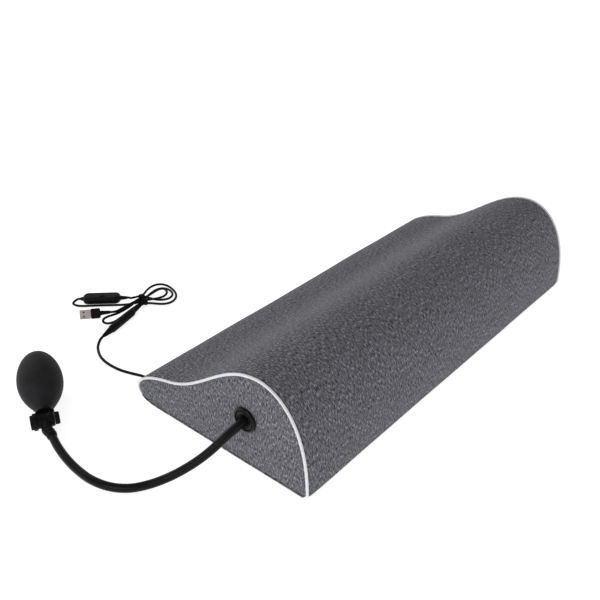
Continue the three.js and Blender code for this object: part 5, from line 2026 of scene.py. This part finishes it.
    def build_boot(self, name: str, side: int, reach: float) -> bpy.types.Object:
        """A ribbed boot where a cord enters the controller.

        Args:
            name: The piece's name.
            side: -1 for the left end, 1 for the right.
            reach: How far it stands out.

        Returns:
            The boot.
        """
        place = SWITCH.shifted(0, 0, 5.0)
        start = 24.6
        profile = [(side * (start - 1.0), 0), (side * (start - 1.0), 3.2)]
        rows = self.ribbed(start, start + reach, 3.2, 2.1, 1.4, 0.3)
        profile += [(side * x, r) for x, r in rows] + [(side * (start + reach + 0.2), 0)]
        return make_piece(name, [turned(profile, place, 36)], SOFT_TPE)

    def build_grip(self) -> bpy.types.Object:
        """The USB plug's overmould: a rounded grip with thumb ribs, and a ribbed boot.

        Returns:
            The grip.
        """
        upright = Place(USB.origin, (USB.axes[1], USB.axes[2], USB.axes[0]))
        levels = [(1e3, -12.0), (2.6, -12.0), (1.2, -11.7), (0.4, -11.0), (0.05, -9.8)]
        for ridge in np.arange(-8.8, -3.0, 1.5):
            levels += [(0.0, ridge - 0.35), (0.3, ridge), (0.0, ridge + 0.35)]
        levels += [(0.0, -2.2), (0.15, -0.7), (0.5, -0.1), (1.2, 0.0), (1e3, 0.0)]
        grip = block(upright, 13.5, 7.5, 2.4, levels)
        boot = turned(
            [(-11.0, 0), (-11.0, 3.3)] + self.ribbed(-12.2, -24.8, 3.2, 2.1, 1.8, 0.35) + [(-25.0, 0)], USB, 40
        )
        return make_piece("usb_grip", [grip, boot], SOFT_TPE)

    def build_contacts(self) -> bpy.types.Object:
        """Four thin gold contacts on the tongue.

        Returns:
            The contacts.
        """
        shells = []
        for lane in (-3.5, -1.0, 1.0, 3.5):
            place = USB.shifted(8.2, lane, 0.35)
            shells.append(block(place, 7.6, 1.0, 0.2, soft_edges(-0.12, 0.02, 0.05, 0.05, 2)))
        return make_piece("usb_contacts", shells, GOLD_FLASH)

    def build(self) -> dict[str, list[bpy.types.Object]]:
        """Make every fitting.

        Returns:
            The pieces on the pigtail, on the feed cord and on the return cord.
        """
        gland = seat(self.build_gland(), Body.CUSHION, "cord_exit_gland")
        socket = seat(self.build_socket(), Body.CUSHION, "dc_jack")
        plug = seat(self.build_plug(), Body.USB_CABLE, "dc_plug")
        strap = seat(self.build_tie(), Body.USB_CABLE, "cord_tie")
        base, lid = self.build_controller()
        seat(base, Body.USB_CABLE, "controller_bottom")
        seat(lid, Body.USB_CABLE, "controller_top")
        push = seat(self.build_switch_button(), Body.SWITCH_BUTTON, "controller_button")
        left = seat(self.build_boot("controller_boot_left", -1, 4.4), Body.USB_CABLE, "controller_relief_left")
        right = seat(self.build_boot("controller_boot_right", 1, 9.4), Body.USB_CABLE, "controller_relief_right")
        grip = seat(self.build_grip(), Body.USB_CABLE, "usb_overmold")
        contacts = seat(self.build_contacts(), Body.USB_CABLE)
        for node in ("dc_jack_pin", "dc_plug_barrel", "usb_shell"):
            dress(node, NICKEL)
        dress("controller_switch", BLACK_ABS)
        dress("controller_board", BOARD_EPOXY)
        dress("usb_tongue", BLACK_ABS)
        nodes = frame["nodes"]
        return {
            "pigtail": [gland, socket, nodes["dc_jack_pin"]],
            "feed": [
                plug, nodes["dc_plug_barrel"], strap, right, base, lid, push,
                nodes["controller_board"], nodes["controller_switch"],
            ],  # fmt: skip
            "return": [left, grip, contacts, nodes["usb_shell"], nodes["usb_tongue"]],
        }


def declare_cords(
) -> None:
    """Gather each free cord's kind of end, diameter and end point, in a table that nothing reads.
    """
    ends = {
        "pigtail": ("connector", 0.0035, nose_place(-250.0).world(np.array([0, 10.0, 0]))),
        "feed": ("fitting", 0.0032, CONNECTOR.world(np.array([80.0, 0, 0]))),
        "return": ("plug", 0.0032, SWITCH.world(np.array([-29.4, 0, 5.0]))),
    }


def main() -> None:
    """Build the room, the cords and then every sub-assembly."""
    logging.basicConfig(level=logging.INFO, format="%(message)s")
    studio = Studio()
    studio.place_camera()
    hose = AirHose().build()
    cords = LeadCords().build()
    CushionCover().build()
    Zipper().build()
    Filling().build()
    HoseGrommet().build()
    pump = HandPump().build()
    fittings = LeadFittings().build()
    declare_cords()
    studio.light_room()


if __name__ == "__main__":
    main()
